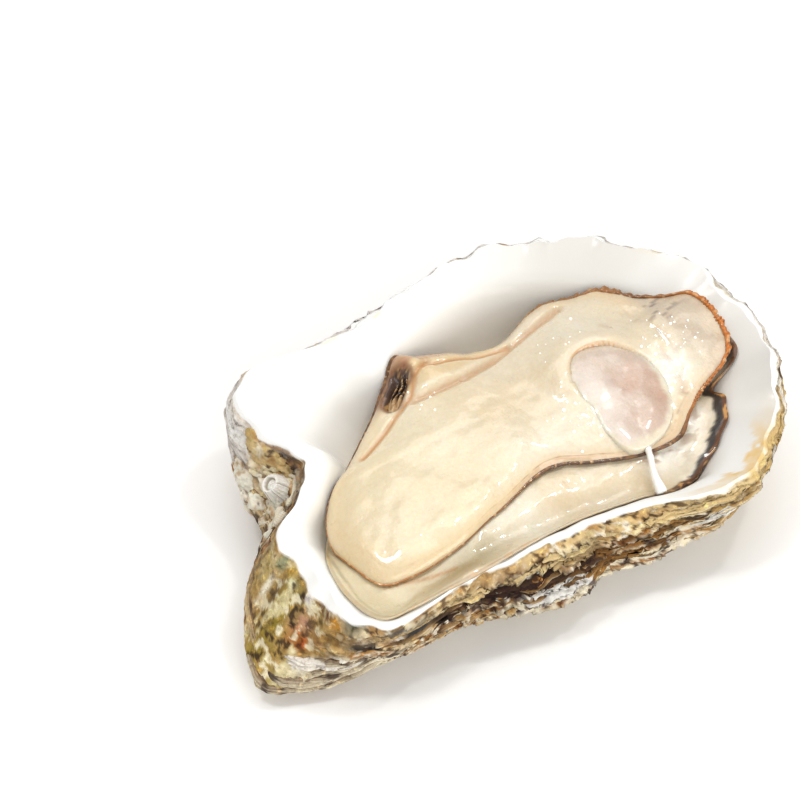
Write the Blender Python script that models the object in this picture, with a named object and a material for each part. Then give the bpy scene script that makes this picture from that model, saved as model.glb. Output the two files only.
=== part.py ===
"""Oyster on the half shell: the cupped lower valve with its beak, and the meat that lies in it.

Built in metres with +Z up. +X runs from the hinge to the wide margin and +Y to the high side of the
shell. The origin is the middle of the small flat spot that the shell rests on. The tables below are
in millimetres and degrees, and their angles are compass angles round the origin or a piece's centre.
"""

import math

import bmesh
import bpy
import numpy as np
from mathutils import Matrix, Vector, noise

MM = 0.001

# Crest of the shell's margin: angle, radius, height.
RIM = [
    (0, 55, 25.5), (11, 52.3, 26.7), (28, 45, 27.8), (45, 40.3, 28), (60, 36.5, 28), (80, 32, 28),
    (98, 30.8, 28), (113, 33, 27.4), (123, 40.5, 26.8), (130, 46, 26.2), (140, 47.5, 25),
    (147, 43.5, 24.5), (153, 37.5, 23.8), (161, 36.5, 23), (170, 41, 22.4), (176, 46, 21.8),
    (190, 46.7, 21), (203, 49.5, 21), (209, 49, 21), (214, 43, 21), (224, 35.5, 21),
    (240, 30, 21.2), (258, 28.2, 21.5), (275, 29.3, 21.5), (290, 35, 22), (301, 44, 22.2),
    (309, 50.3, 22.9), (320, 52.6, 23.5), (336, 56.2, 24.5), (350, 55.6, 25.2),
]
# Widest line of the outside, from the beak's tip round to the back: angle, radius, height.
SKIRT = [
    (0, 56.3, 19), (45, 41.5, 17), (90, 34, 15), (122, 42, 16), (135, 48.5, 19), (146, 49.5, 15),
    (154, 47.5, 12), (166, 46, 12), (174, 52.5, 12), (183, 60, 7.5), (190, 63.8, 4.5),
    (195, 60, 3.5), (201, 54, 4), (209, 46.5, 8), (222, 37, 8.5), (235, 34, 9), (248, 34, 9.5),
    (262, 34, 9), (273, 32.6, 9.5), (284, 36.6, 10.5), (293, 41, 12.5), (301, 47, 15.5),
    (312, 51.4, 18), (330, 56.6, 19),
]
# How far the outside bulges between the crest and the widest line; the hollow near 158 holds growth.
BULGE = [
    (0, 1.5), (90, 2), (135, 1), (147, -1), (158, -3), (168, -1), (180, 0), (190, -0.5), (200, 0.5),
    (212, 1), (260, 1), (300, 0.5), (330, 1),
]
# Inner wall: its middle and half width as shares of the rim's radius, and the flare above it.
WALL = [
    (0, 0.74, 0.11, 0.4), (45, 0.72, 0.16, 0.35), (90, 0.68, 0.2, 0.3), (130, 0.58, 0.25, 0.45),
    (160, 0.76, 0.2, 0.25), (200, 0.86, 0.125, 0.15), (240, 0.875, 0.12, 0.15),
    (280, 0.875, 0.12, 0.15), (305, 0.79, 0.13, 0.25), (330, 0.74, 0.12, 0.4),
]
FLOOR = 4.5
FOOT = (27, 14)
BASE = (40, 22)
BASE_HEIGHT = 2.2
LIP_WIDTH = 1.3
LIP_DROP = 0.9
LAMELLA_STEP = 1.3
LAMELLA_COUNT = 3.2
SHELL_COLUMNS = 96
INNER_STOPS = [0, 0.12, 0.25, 0.37, 0.48, 0.57, 0.65, 0.72, 0.78, 0.83, 0.875, 0.915, 0.95, 0.98]
OUTER_STOPS = [
    0.06, 0.16, 0.26, 0.36, 0.47, 0.58, 0.68, 0.78, 0.9, 1, 1.25, 1.5, 1.75, 2, 2.5, 3, 3.5, 4,
]

# Lower mantle lobe, on the shell's floor: angle, radius of its edge, height of its rolled crest.
LOWER_EDGE = [
    (0, 44, 20), (20, 34, 17), (45, 25, 14), (90, 19, 13), (130, 22, 13), (160, 31, 15.5),
    (180, 40, 18), (190, 43.6, 19), (199, 46, 19.8), (207, 46.8, 20.2), (212, 43, 20.4),
    (220, 37, 20.6), (232, 31, 20.8), (245, 27.6, 20.9), (262, 26.2, 21), (279, 28, 21),
    (296, 33.6, 21), (308, 39, 20.8), (326, 46, 21), (339, 50, 22.5), (350, 48.6, 22.5),
]
LOWER_PLATEAU = 14.5
LOWER_HEM = 1

# Body with the upper mantle lobe: angle, radius and height of its edge round BODY_CENTRE.
BODY_CENTRE = (5, -2)
BODY_EDGE = [
    (0, 44.1, 26.3), (5, 40, 25), (12, 36.8, 24), (22, 35, 23.3), (30, 31.5, 22), (40, 28.6, 21),
    (56, 21, 19.5), (78, 18.6, 18), (104, 23.2, 17), (124, 25.2, 17), (140, 27, 17.5),
    (157, 32.6, 17.5), (170, 40.2, 17.5), (180, 44, 17.8), (190, 44.7, 18.3), (198, 44.5, 19),
    (203, 40.6, 20), (210, 33, 21), (220, 23.6, 21.3), (240, 15.5, 21.6), (266, 14, 21.8),
    (288, 19, 21.8), (302, 25.8, 22), (312, 31, 22.3), (322, 32.8, 22.8), (330, 36, 23.8),
    (340, 43.2, 25.4), (351, 44.9, 26.4),
]
BODY_CROWN = 25.6
# Creases of the body: start, end, depth and half width.
CREASES = [
    ((-23, 9), (-13, 13), 1.5, 1.8), ((-13, 13), (-6, 18), 2.6, 2.2), ((-6, 12), (3, 11), 2, 1.8),
    ((3, 11), (14, 11.5), 2, 1.8), ((14, 11.5), (27, 12), 1.6, 1.8), ((37, 4), (39, -8), 1.2, 1.8),
]

# Adductor muscle: angle and radius of its outline round its own centre.
MUSCLE_CENTRE = (22.5, -12)
MUSCLE_OUTLINE = [
    (12, 8.7), (52, 9.5), (84, 10.8), (107, 11.1), (146, 8), (182, 6.4), (216, 9), (238, 11.6),
    (266, 10.6), (296, 9.4), (332, 8.2),
]
MUSCLE_TOP = 26.2
MUSCLE_TILT = 0.16
MUSCLE_ROLL = 0.6

GILL_START = (-13, 13.6)
GILL_END = (-5.5, 18.6)
GILL_WIDTH = 2.6
GILL_HEIGHT = 1.7

BARNACLE_ANGLE = 157
BARNACLE_STOP = 0.66
BARNACLE_WIDTH = 6.4
BARNACLE_MOUTH = 2.2
BARNACLE_HEIGHT = 4
BARNACLE_SUNK = 0.8
BARNACLE_WALL = 0.8
WORM_RADIUS = 0.9

CLEARANCE = 0.7
SEAT = 0.35


def clear_scene():
    for obj in list(bpy.data.objects):
        bpy.data.objects.remove(obj, do_unlink=True)


def smoothed(rows):
    """The table's values at every half degree, on a smooth closed curve through its rows."""
    rows = np.array(rows, float)
    angles = np.concatenate([rows[-2:, 0] - 360, rows[:, 0], rows[:2, 0] + 360])
    values = np.concatenate([rows[-2:, 1:], rows[:, 1:], rows[:2, 1:]])
    slopes = (values[2:] - values[:-2]) / (angles[2:] - angles[:-2])[:, None]
    angles, values = angles[1:-1], values[1:-1]
    grid = np.arange(0, 360, 0.5)
    start = np.searchsorted(angles, grid, side="right") - 1
    span = (angles[start + 1] - angles[start])[:, None]
    part = (grid - angles[start])[:, None] / span
    rise = part**2 * (3 - 2 * part)
    curve = values[start] * (1 - rise) + values[start + 1] * rise
    curve += span * slopes[start] * part * (1 - part) ** 2
    curve -= span * slopes[start + 1] * part**2 * (1 - part)
    return grid, curve


TABLES = {
    "rim": smoothed(RIM),
    "skirt": smoothed(SKIRT),
    "bulge": smoothed(BULGE),
    "wall": smoothed(WALL),
    "lower": smoothed(LOWER_EDGE),
    "body": smoothed(BODY_EDGE),
    "muscle": smoothed(MUSCLE_OUTLINE),
}


def at(table, angle):
    """The named table's values at an angle in degrees."""
    grid, curve = TABLES[table]
    return [float(np.interp(angle, grid, column, period=360)) for column in curve.T]


def eased(value):
    value = min(max(value, 0), 1)
    return value**3 * (value * (6 * value - 15) + 10)


def mix(first, second, share):
    return first + (second - first) * share


def angle_of(x, y):
    return math.degrees(math.atan2(y, x)) % 360


def cavity_height(x, y):
    """Height of the shell's inner face."""
    angle = angle_of(x, y)
    rim_radius, rim_height = at("rim", angle)
    place, half_width, flare = at("wall", angle)
    share = min(math.hypot(x, y) / rim_radius, 1)
    wall = eased((share - place + half_width) / (2 * half_width))
    return FLOOR + (rim_height - FLOOR) * ((1 - flare) * wall + flare * share**3)


def cavity_bed(x, y):
    """Height that clears the shell's inner face by CLEARANCE, measured square to the face."""
    height = cavity_height(x, y)
    step = 0.4
    slope_x = (cavity_height(x + step, y) - cavity_height(x - step, y)) / (2 * step)
    slope_y = (cavity_height(x, y + step) - cavity_height(x, y - step)) / (2 * step)
    return height + CLEARANCE * math.sqrt(1 + slope_x**2 + slope_y**2)


def rim_ruffle(angle):
    """Scallops of the margin, strongest at the wide end: outward and upward shares in mm."""
    strength = 0.35 + 0.4 * math.cos(math.radians(angle - 20)) ** 2
    across = math.sin(math.radians(angle * 17)) + 0.6 * math.sin(math.radians(angle * 29 + 40))
    upward = math.sin(math.radians(angle * 13 + 70)) + 0.5 * math.sin(math.radians(angle * 23))
    return strength * across, 0.7 * strength * upward


def relief(angle, stop):
    """Flaky layers of the outside: each flares to a thin edge and steps back under it."""
    turn = math.radians(angle)
    swirl = noise.noise(Vector((4 * math.cos(turn), 4 * math.sin(turn), stop)))
    layer = (stop * LAMELLA_COUNT + 0.5 * swirl) % 1
    rough = noise.noise(Vector((angle * 0.21, stop * 6, 3.7)))
    return LAMELLA_STEP * (layer - 0.5) + 0.9 * rough


def oval_radius(size, angle):
    """Polar radius of an ellipse with these half axes."""
    turn = math.radians(angle)
    return 1 / math.hypot(math.cos(turn) / size[0], math.sin(turn) / size[1])


def outer_profile(angle, stop):
    """Radius and height of the outside: stop 0 is the crest, 1 the widest line, 2 the base, 3 the foot."""
    rim_radius, rim_height = at("rim", angle)
    skirt_radius, skirt_height = at("skirt", angle)
    bulge = at("bulge", angle)[0]
    ruffle, lift = rim_ruffle(angle)
    base_radius = oval_radius(BASE, angle)
    if stop <= 1:
        lip = min(stop / 0.16, 1)
        fade = 1 - stop
        radius = mix(rim_radius, skirt_radius, stop) + bulge * math.sin(math.pi * stop)
        radius += (LIP_WIDTH * lip + ruffle) * fade + relief(angle, stop) * lip
        height = mix(rim_height + lift, skirt_height, stop) - LIP_DROP * lip * fade
        return radius, height
    if stop <= 2:
        share = stop - 1
        turn = share * math.pi / 2
        radius = mix(base_radius, skirt_radius, math.cos(turn)) + relief(angle, stop) * 0.6 * (1 - share)
        height = mix(skirt_height, BASE_HEIGHT, math.sin(turn))
        return radius, height
    if stop <= 3:
        share = stop - 2
        return mix(base_radius, oval_radius(FOOT, angle), share), BASE_HEIGHT * (1 - share)
    return oval_radius(FOOT, angle) * (4 - stop), 0


def even_angles(count):
    """Compass angles that space this many columns evenly along the shell's margin and beak."""
    grid = np.arange(0, 360.5, 0.5)
    reach = (TABLES["rim"][1][:, 0] + TABLES["skirt"][1][:, 0]) / 2
    reach = np.append(reach, reach[0])
    turns = np.radians(grid)
    steps = np.hypot(np.diff(reach * np.cos(turns)), np.diff(reach * np.sin(turns)))
    along = np.concatenate([[0], np.cumsum(steps)])
    return np.interp(np.arange(count) * along[-1] / count, along, grid)


def sphere_mesh(columns, rings):
    """A unit UV sphere, and for each vertex its ring from the top and its column."""
    mesh = bmesh.new()
    bmesh.ops.create_uvsphere(mesh, u_segments=columns, v_segments=rings, radius=1)
    places = {}
    for vert in mesh.verts:
        ring = round(math.acos(max(-1, min(1, vert.co.z))) / math.pi * rings)
        column = round(math.atan2(vert.co.y, vert.co.x) / (2 * math.pi) * columns) % columns
        places[vert] = (ring, column)
    return mesh, places


def finish_object(mesh, name, material):
    """Makes the named object of a bmesh whose points are in millimetres."""
    bmesh.ops.scale(mesh, vec=(MM, MM, MM), verts=mesh.verts)
    bmesh.ops.recalc_face_normals(mesh, faces=mesh.faces)
    data = bpy.data.meshes.new(name)
    mesh.to_mesh(data)
    mesh.free()
    data.shade_smooth()
    obj = bpy.data.objects.new(name, data)
    if material is None:
        obj.hide_render = True
        obj.display_type = "WIRE"
        CUTTERS.objects.link(obj)
    else:
        data.materials.append(material)
        OYSTER.objects.link(obj)
    return obj


def finish(name, colour, roughness):
    material = bpy.data.materials.new(name)
    material.use_nodes = True
    shader = material.node_tree.nodes["Principled BSDF"]
    shader.inputs["Base Color"].default_value = (*colour, 1)
    shader.inputs["Roughness"].default_value = roughness
    shader.inputs["Metallic"].default_value = 0
    return material


def cut(obj, cutter):
    modifier = obj.modifiers.new("cut for " + cutter.name, "BOOLEAN")
    modifier.operation = "DIFFERENCE"
    modifier.object = cutter


def make_shell():
    rings = len(INNER_STOPS) + len(OUTER_STOPS)
    angles = even_angles(SHELL_COLUMNS)
    mesh, places = sphere_mesh(SHELL_COLUMNS, rings)
    for vert, (ring, column) in places.items():
        angle = float(angles[column])
        turn = math.radians(angle)
        if ring < len(INNER_STOPS):
            share = INNER_STOPS[ring]
            ruffle, lift = rim_ruffle(angle)
            fade = share**12
            radius = at("rim", angle)[0] * share
            height = cavity_height(radius * math.cos(turn), radius * math.sin(turn)) + lift * fade
            radius += ruffle * fade
        elif ring == len(INNER_STOPS):
            radius, height = outer_profile(angle, 0)
        else:
            radius, height = outer_profile(angle, OUTER_STOPS[ring - len(INNER_STOPS) - 1])
        vert.co = (radius * math.cos(turn), radius * math.sin(turn), height)
    return finish_object(mesh, "shell", finish("shell", (0.86, 0.82, 0.74), 0.35))


def lower_top(x, y):
    """Height of the lower mantle lobe's upper face: a rolled edge round a sunken middle."""
    angle = angle_of(x, y)
    edge_radius, crest = at("lower", angle)
    share = math.hypot(x, y) / edge_radius
    edge = cavity_bed(x, y) + LOWER_HEM
    if share >= 1:
        return cavity_bed(x, y) + LOWER_HEM * (1 - eased(8 * (share - 1)))
    inside = mix(crest, LOWER_PLATEAU, eased((0.85 - share) / 0.45))
    return max(edge, mix(edge, inside, math.sqrt(1 - share**8)))


def make_lower_mantle():
    columns, rings = 52, 18
    mesh, places = sphere_mesh(columns, rings)
    for vert, (ring, column) in places.items():
        angle = column * 360 / columns
        turn = math.radians(angle)
        share = max(math.sin(math.pi * ring / rings), 0) ** 0.9
        radius = at("lower", angle)[0] * share
        x, y = radius * math.cos(turn), radius * math.sin(turn)
        under = cavity_bed(x, y)
        if ring * 2 < rings:
            height = lower_top(x, y)
        elif ring * 2 > rings:
            height = under
        else:
            height = under + LOWER_HEM / 2
        vert.co = (x, y, height)
    return finish_object(mesh, "lower_mantle", finish("lower_mantle", (0.88, 0.8, 0.62), 0.3))


def crease_depth(x, y):
    """How far the body's creases sink below its crown."""
    depth = 0
    point = Vector((x, y))
    for start, end, deep, half_width in CREASES:
        first, last = Vector(start), Vector(end)
        along = (point - first).dot(last - first) / (last - first).length_squared
        nearest = first.lerp(last, min(max(along, 0), 1))
        depth = max(depth, deep * math.exp(-(((point - nearest).length / half_width) ** 2)))
    return depth


def muscle_height(y):
    """Height of the muscle's cut face, which tips down towards the near side."""
    return MUSCLE_TOP + MUSCLE_TILT * (y - MUSCLE_CENTRE[1])


def body_top(x, y, share):
    edge = body_edge_height(x, y)
    offset = Vector((x - MUSCLE_CENTRE[0], y - MUSCLE_CENTRE[1]))
    outline = at("muscle", angle_of(*offset))[0]
    near_muscle = math.exp(-((max(offset.length / outline - 1.1, 0) / 0.55) ** 2))
    crown = mix(BODY_CROWN, muscle_height(y) + MUSCLE_ROLL, near_muscle)
    crown = max(crown, edge + 0.6)
    dome = math.sqrt(max(1 - share**2.6, 0))
    return mix(edge, crown, dome) - crease_depth(x, y) * dome


def body_share(x, y):
    """Distance from the body's centre as a share of its outline."""
    x, y = x - BODY_CENTRE[0], y - BODY_CENTRE[1]
    return math.hypot(x, y) / at("body", angle_of(x, y))[0]


def body_bed(x, y):
    """Lowest height that clears what the body lies on."""
    return max(cavity_bed(x, y), lower_top(x, y) + CLEARANCE)


def body_edge_height(x, y):
    angle = angle_of(x - BODY_CENTRE[0], y - BODY_CENTRE[1])
    reach = at("body", angle)[0]
    turn = math.radians(angle)
    edge_x = BODY_CENTRE[0] + reach * math.cos(turn)
    edge_y = BODY_CENTRE[1] + reach * math.sin(turn)
    return max(at("body", angle)[1], body_bed(edge_x, edge_y) + 0.8)


def make_body():
    columns, rings = 64, 26
    mesh, places = sphere_mesh(columns, rings)
    for vert, (ring, column) in places.items():
        angle = column * 360 / columns
        turn = math.radians(angle)
        share = max(math.sin(math.pi * ring / rings), 0) ** 0.9
        radius = at("body", angle)[0] * share
        x = BODY_CENTRE[0] + radius * math.cos(turn)
        y = BODY_CENTRE[1] + radius * math.sin(turn)
        if ring * 2 < rings:
            height = max(body_top(x, y, share), body_bed(x, y) + 1.2)
        elif ring * 2 > rings:
            height = mix(body_bed(x, y), max(body_edge_height(x, y), body_bed(x, y)), share**14)
        else:
            height = body_edge_height(x, y)
        vert.co = (x, y, height)
    return finish_object(mesh, "body", finish("body", (0.9, 0.83, 0.66), 0.25))


def make_muscle(name, grow, material):
    """The column from the shell's floor to the cut face; grown, it cuts its own hole."""
    columns, rings, cap = 32, 12, 5
    mesh, places = sphere_mesh(columns, rings)
    for vert, (ring, column) in places.items():
        turn = math.radians(column * 360 / columns)
        share = min(ring, rings - ring, cap) / cap
        radius = (at("muscle", column * 360 / columns)[0] + grow) * share
        x = MUSCLE_CENTRE[0] + radius * math.cos(turn)
        y = MUSCLE_CENTRE[1] + radius * math.sin(turn)
        low = cavity_bed(x, y) - grow * 8
        high = muscle_height(y) - 0.5 * share**4 + grow * 8
        sides = (ring - cap) / (rings - 2 * cap)
        height = mix(high, low, min(max(sides, 0), 1))
        vert.co = (x, y, height)
    return finish_object(mesh, name, material)


def make_gills():
    """Frilled gill edge that shows in the pocket between the mantle flap and the belly."""
    columns, rings = 28, 8
    start, end = Vector(GILL_START), Vector(GILL_END)
    middle = (start + end) / 2
    along = (end - start) / 2
    across = Vector((-along.y, along.x)).normalized() * GILL_WIDTH / 2
    mesh, places = sphere_mesh(columns, rings)
    for vert, (ring, column) in places.items():
        turn = 2 * math.pi * column / columns
        share = math.sin(math.pi * ring / rings)
        x, y = middle + along * (share * math.cos(turn)) + across * (share * math.sin(turn))
        bed = body_top(x, y, body_share(x, y)) + CLEARANCE + 0.3
        if ring * 2 < rings:
            frill = 1 + 0.25 * math.sin(9 * math.pi * share * math.cos(turn))
            height = bed + 0.3 + GILL_HEIGHT * frill * (1 - share**2)
        elif ring * 2 > rings:
            height = bed
        else:
            height = bed + 0.3
        vert.co = (x, y, height)
    return finish_object(mesh, "gills", finish("gills", (0.36, 0.22, 0.12), 0.45))


def outer_point(angle, stop, out=0):
    """A point on the shell's outside, moved out from the axis and up by the same distance."""
    radius, height = outer_profile(angle, stop)
    turn = math.radians(angle)
    return Vector(((radius + out) * math.cos(turn), (radius + out) * math.sin(turn), height + out))


def make_barnacle(name, grow, material):
    """A truncated cone of fused plates with an open mouth."""
    seat = outer_point(BARNACLE_ANGLE, BARNACLE_STOP)
    turn = math.radians(BARNACLE_ANGLE)
    axis = Vector((0.62 * math.cos(turn), 0.62 * math.sin(turn), 0.78)).normalized()
    mesh = bmesh.new()
    bmesh.ops.create_cone(
        mesh, cap_ends=True, segments=16, depth=BARNACLE_HEIGHT + 2 * grow,
        radius1=BARNACLE_WIDTH / 2 + grow, radius2=BARNACLE_MOUTH / 2 + BARNACLE_WALL + grow,
    )
    if grow == 0:
        mouth = max(mesh.faces, key=lambda face: face.calc_center_median().z)
        bmesh.ops.inset_region(mesh, faces=[mouth], thickness=BARNACLE_WALL)
        bmesh.ops.translate(mesh, verts=mouth.verts, vec=(0, 0, -2 * BARNACLE_WALL))
    sunk = seat + axis * (BARNACLE_HEIGHT / 2 - BARNACLE_SUNK)
    upright = axis.to_track_quat("Z", "Y").to_matrix().to_4x4()
    bmesh.ops.transform(mesh, verts=mesh.verts, matrix=Matrix.Translation(sunk) @ upright)
    return finish_object(mesh, name, material)


def make_worm_tube(name, grow, material):
    """A chalky tube that curls over the growth, as a swept curve made into a mesh."""
    curve = bpy.data.curves.new(name, "CURVE")
    curve.dimensions = "3D"
    curve.bevel_depth = (WORM_RADIUS + grow) * MM
    curve.bevel_resolution = 1
    curve.use_fill_caps = True
    stations = [(168, 0.3), (170, 0.45), (168, 0.6), (164, 0.7)]
    spline = curve.splines.new("NURBS")
    spline.points.add(len(stations) - 1)
    spline.use_endpoint_u = True
    spline.order_u = 4
    spline.resolution_u = 4
    for point, (angle, stop) in zip(spline.points, stations):
        point.co = (*(outer_point(angle, stop, WORM_RADIUS * 0.6) * MM), 1)
    path = bpy.data.objects.new(name + " path", curve)
    CUTTERS.objects.link(path)
    graph = bpy.context.evaluated_depsgraph_get()
    data = bpy.data.meshes.new_from_object(path.evaluated_get(graph))
    bpy.data.objects.remove(path, do_unlink=True)
    mesh = bmesh.new()
    mesh.from_mesh(data)
    bpy.data.meshes.remove(data)
    bmesh.ops.remove_doubles(mesh, verts=mesh.verts, dist=0.00001)
    bmesh.ops.scale(mesh, vec=(1 / MM, 1 / MM, 1 / MM), verts=mesh.verts)
    return finish_object(mesh, name, material)


def collection(name, hidden=False):
    made = bpy.data.collections.new(name)
    bpy.context.scene.collection.children.link(made)
    made.hide_render = hidden
    return made


clear_scene()
OYSTER = collection("oyster_in_shell")
CUTTERS = collection("cutters", hidden=True)

shell = make_shell()
lower_mantle = make_lower_mantle()
body = make_body()
make_muscle("adductor_muscle", 0, finish("adductor_muscle", (0.85, 0.78, 0.74), 0.2))
make_gills()
make_barnacle("barnacle", 0, finish("barnacle", (0.8, 0.76, 0.66), 0.6))
make_worm_tube("worm_tube", 0, finish("worm_tube", (0.84, 0.8, 0.7), 0.6))

muscle_hole = make_muscle("muscle hole", SEAT, None)
cut(body, muscle_hole)
cut(lower_mantle, muscle_hole)
cut(shell, make_barnacle("barnacle seat", SEAT, None))
cut(shell, make_worm_tube("worm tube seat", SEAT, None))
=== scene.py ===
import itertools
import math

import bmesh
import bpy
import numpy as np
from mathutils import Matrix, Vector


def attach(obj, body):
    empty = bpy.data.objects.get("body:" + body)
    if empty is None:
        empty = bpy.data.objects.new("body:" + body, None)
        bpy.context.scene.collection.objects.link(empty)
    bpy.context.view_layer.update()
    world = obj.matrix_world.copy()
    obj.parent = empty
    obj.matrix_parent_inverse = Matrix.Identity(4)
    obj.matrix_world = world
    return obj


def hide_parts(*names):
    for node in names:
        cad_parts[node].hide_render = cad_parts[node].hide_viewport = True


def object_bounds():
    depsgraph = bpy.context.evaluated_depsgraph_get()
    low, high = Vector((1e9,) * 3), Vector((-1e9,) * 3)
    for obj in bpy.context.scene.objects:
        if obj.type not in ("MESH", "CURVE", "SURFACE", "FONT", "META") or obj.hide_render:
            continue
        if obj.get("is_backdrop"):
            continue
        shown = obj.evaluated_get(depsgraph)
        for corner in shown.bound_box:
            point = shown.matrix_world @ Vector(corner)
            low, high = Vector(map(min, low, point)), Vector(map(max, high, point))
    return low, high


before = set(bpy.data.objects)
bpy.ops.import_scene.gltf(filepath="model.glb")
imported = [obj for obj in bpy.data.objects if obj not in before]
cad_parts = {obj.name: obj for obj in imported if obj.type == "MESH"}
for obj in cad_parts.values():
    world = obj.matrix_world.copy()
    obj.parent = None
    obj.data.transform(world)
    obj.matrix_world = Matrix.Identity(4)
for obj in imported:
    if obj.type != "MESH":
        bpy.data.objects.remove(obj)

cad_low, cad_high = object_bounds()


# ---- The view, the floor and the light -------------------------------------------------------
# A pale matt table in a white room. Two wide softboxes light the oyster from overhead and the front
# left, a low one fills its near side, and two small windows give the wet meat its highlights.

MM = 0.001
scene = bpy.context.scene
VIEW_TARGET = Vector((-0.0109, 0.0134, 0.024))
VIEW_AZIMUTH = -38
VIEW_ELEVATION = 52
VIEW_DISTANCE = 0.4222

turn, tilt = math.radians(VIEW_AZIMUTH), math.radians(VIEW_ELEVATION)
backwards = Vector((math.sin(turn) * math.cos(tilt), -math.cos(turn) * math.cos(tilt), math.sin(tilt)))
lens = bpy.data.cameras.new("view")
lens.lens = 100
lens.sensor_width = 36
lens.clip_start = 0.01
camera = bpy.data.objects.new("view", lens)
camera.location = VIEW_TARGET + backwards * VIEW_DISTANCE
camera.rotation_euler = backwards.to_track_quat("Z", "Y").to_euler()
scene.collection.objects.link(camera)
scene.camera = camera
scene.view_settings.view_transform = "Standard"
scene.view_settings.gamma = 0.88


def lamp(name, place, target, size, power, colour):
    """A square softbox at a place, facing a target."""
    light = bpy.data.lights.new(name, "AREA")
    light.shape = "SQUARE"
    light.size = size
    light.energy = power
    light.color = colour
    obj = bpy.data.objects.new(name, light)
    obj.location = place
    obj.rotation_euler = (Vector(place) - Vector(target)).to_track_quat("Z", "Y").to_euler()
    scene.collection.objects.link(obj)


lamp("overhead softbox", (0.12, 0.16, 0.68), (0, 0, 0.02), 0.5, 1.38, (1, 0.99, 0.97))
lamp("front left softbox", (-0.3, -0.5, 0.55), (0, 0, 0.02), 0.35, 0.85, (1, 0.99, 0.98))
lamp("near fill", (0.05, -0.72, 0.15), (0, 0, 0.01), 0.5, 2.7, (1, 0.98, 0.96))
lamp("small window", (-0.13, 0.1, 0.5), (0, 0, 0.02), 0.065, 0.42, (1, 1, 1))
lamp("second window", (0.2, -0.03, 0.5), (0, 0, 0.02), 0.04, 0.3, (1, 1, 1))

world = bpy.data.worlds.new("room")
scene.world = world
world.use_nodes = True
world.node_tree.nodes["Background"].inputs["Color"].default_value = (1, 1, 1, 1)
world.node_tree.nodes["Background"].inputs["Strength"].default_value = 0.6

floor_mesh = bmesh.new()
bmesh.ops.create_grid(floor_mesh, x_segments=1, y_segments=1, size=2)
bmesh.ops.translate(floor_mesh, verts=floor_mesh.verts, vec=(0, 0, cad_low.z))
floor_data = bpy.data.meshes.new("table")
floor_mesh.to_mesh(floor_data)
floor_mesh.free()
floor = bpy.data.objects.new("table", floor_data)
scene.collection.objects.link(floor)
table_paint = bpy.data.materials.new("pale table")
table_paint.use_nodes = True
table_paint.node_tree.nodes["Principled BSDF"].inputs["Base Color"].default_value = (0.97, 0.97, 0.965, 1)
table_paint.node_tree.nodes["Principled BSDF"].inputs["Roughness"].default_value = 0.9
floor_data.materials.append(table_paint)
floor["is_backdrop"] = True


# ---- Shell ------------------------------------------------------------------------------------
# The cupped left valve: chalky flaking layers laid down one under the other outside, each with a
# thin frilled edge, and a smooth pearly lining inside. The beak at -X carried the hinge.

# Crest of the margin: angle, radius, height in mm.
RIM = [
    (0, 55, 25.5), (11, 52.3, 26.7), (28, 45, 27.8), (45, 40.3, 28), (60, 36.5, 28), (80, 32, 28),
    (98, 30.8, 28), (113, 33, 27.4), (123, 40.5, 26.8), (130, 46, 26.2), (140, 47.5, 25),
    (147, 43.5, 24.5), (153, 37.5, 23.8), (161, 36.5, 23), (170, 41, 22.4), (176, 46, 21.8),
    (190, 46.7, 21), (203, 49.5, 21), (209, 49, 21), (214, 43, 21), (224, 35.5, 21),
    (240, 30, 21.2), (258, 28.2, 21.5), (275, 29.3, 21.5), (290, 35, 22), (301, 44, 22.2),
    (309, 50.3, 22.9), (320, 52.6, 23.5), (336, 56.2, 24.5), (350, 55.6, 25.2),
]
# Places round the margin, in degrees.
SHOULDER, NOTCH, BEAK, CREVICE, NEAR_SIDE, RUST, WIDE_END = 142, 159.5, 188, 242, 262, 311, 355
# Widest line of the outside: angle, radius, height.
SKIRT = [
    (0, 56.3, 19), (45, 41.5, 17), (90, 34, 15), (122, 42, 16), (135, 48.5, 19), (146, 49.5, 15),
    (154, 47.5, 12), (166, 46, 12), (174, 52.5, 12), (183, 60, 7.5), (190, 63.8, 4.5),
    (195, 60, 3.5), (201, 54, 4), (209, 46.5, 8), (222, 37, 8.5), (235, 34, 9), (248, 34, 9.5),
    (262, 34, 9), (273, 32.6, 9.5), (284, 36.6, 10.5), (293, 41, 12.5), (301, 47, 15.5),
    (312, 51.4, 18), (330, 56.6, 19),
]
# Bulge of the outside between the crest and the widest line.
BULGE = [
    (0, 1.5), (90, 2), (135, 1), (147, -1), (158, -3), (168, -1), (180, 0), (190, -0.5), (200, 0.5),
    (212, 1), (260, 1), (300, 0.5), (330, 1),
]
# Inner wall: its middle and half width as shares of the rim's radius, and the flare above it.
WALL = [
    (0, 0.74, 0.11, 0.4), (45, 0.72, 0.16, 0.35), (90, 0.68, 0.2, 0.3), (130, 0.58, 0.25, 0.45),
    (160, 0.76, 0.2, 0.25), (200, 0.86, 0.125, 0.15), (240, 0.875, 0.12, 0.15),
    (280, 0.875, 0.12, 0.15), (305, 0.79, 0.13, 0.25), (330, 0.74, 0.12, 0.4),
]
# How strong the flaky layers are round the outside: step in mm.
FLAKINESS = [
    (0, 0.5), (30, 0.6), (90, 1), (128, 0.5), (140, 0.15), (150, 0.3), (160, 0.6), (172, 0.5),
    (179, 0.1), (196, 0.12), (206, 1), (220, 1.8), (250, 2), (285, 2), (305, 1.6), (330, 0.7),
]
FLOOR_HEIGHT = 4.5
# Half lengths, along X and Y, of the flat foot and of the round base that stands on it.
FOOT = (27, 14)
BASE = (40, 22)
BASE_HEIGHT = 2.2
LIP_WIDTH = 1.1
LIP_DROP = 0.8
LAYERS = 11
SLABS = 3.7
SHELL_COLUMNS = 520
INNER_RINGS = 36
OUTER_RINGS = 92
UNDER_RINGS = 62

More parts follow.
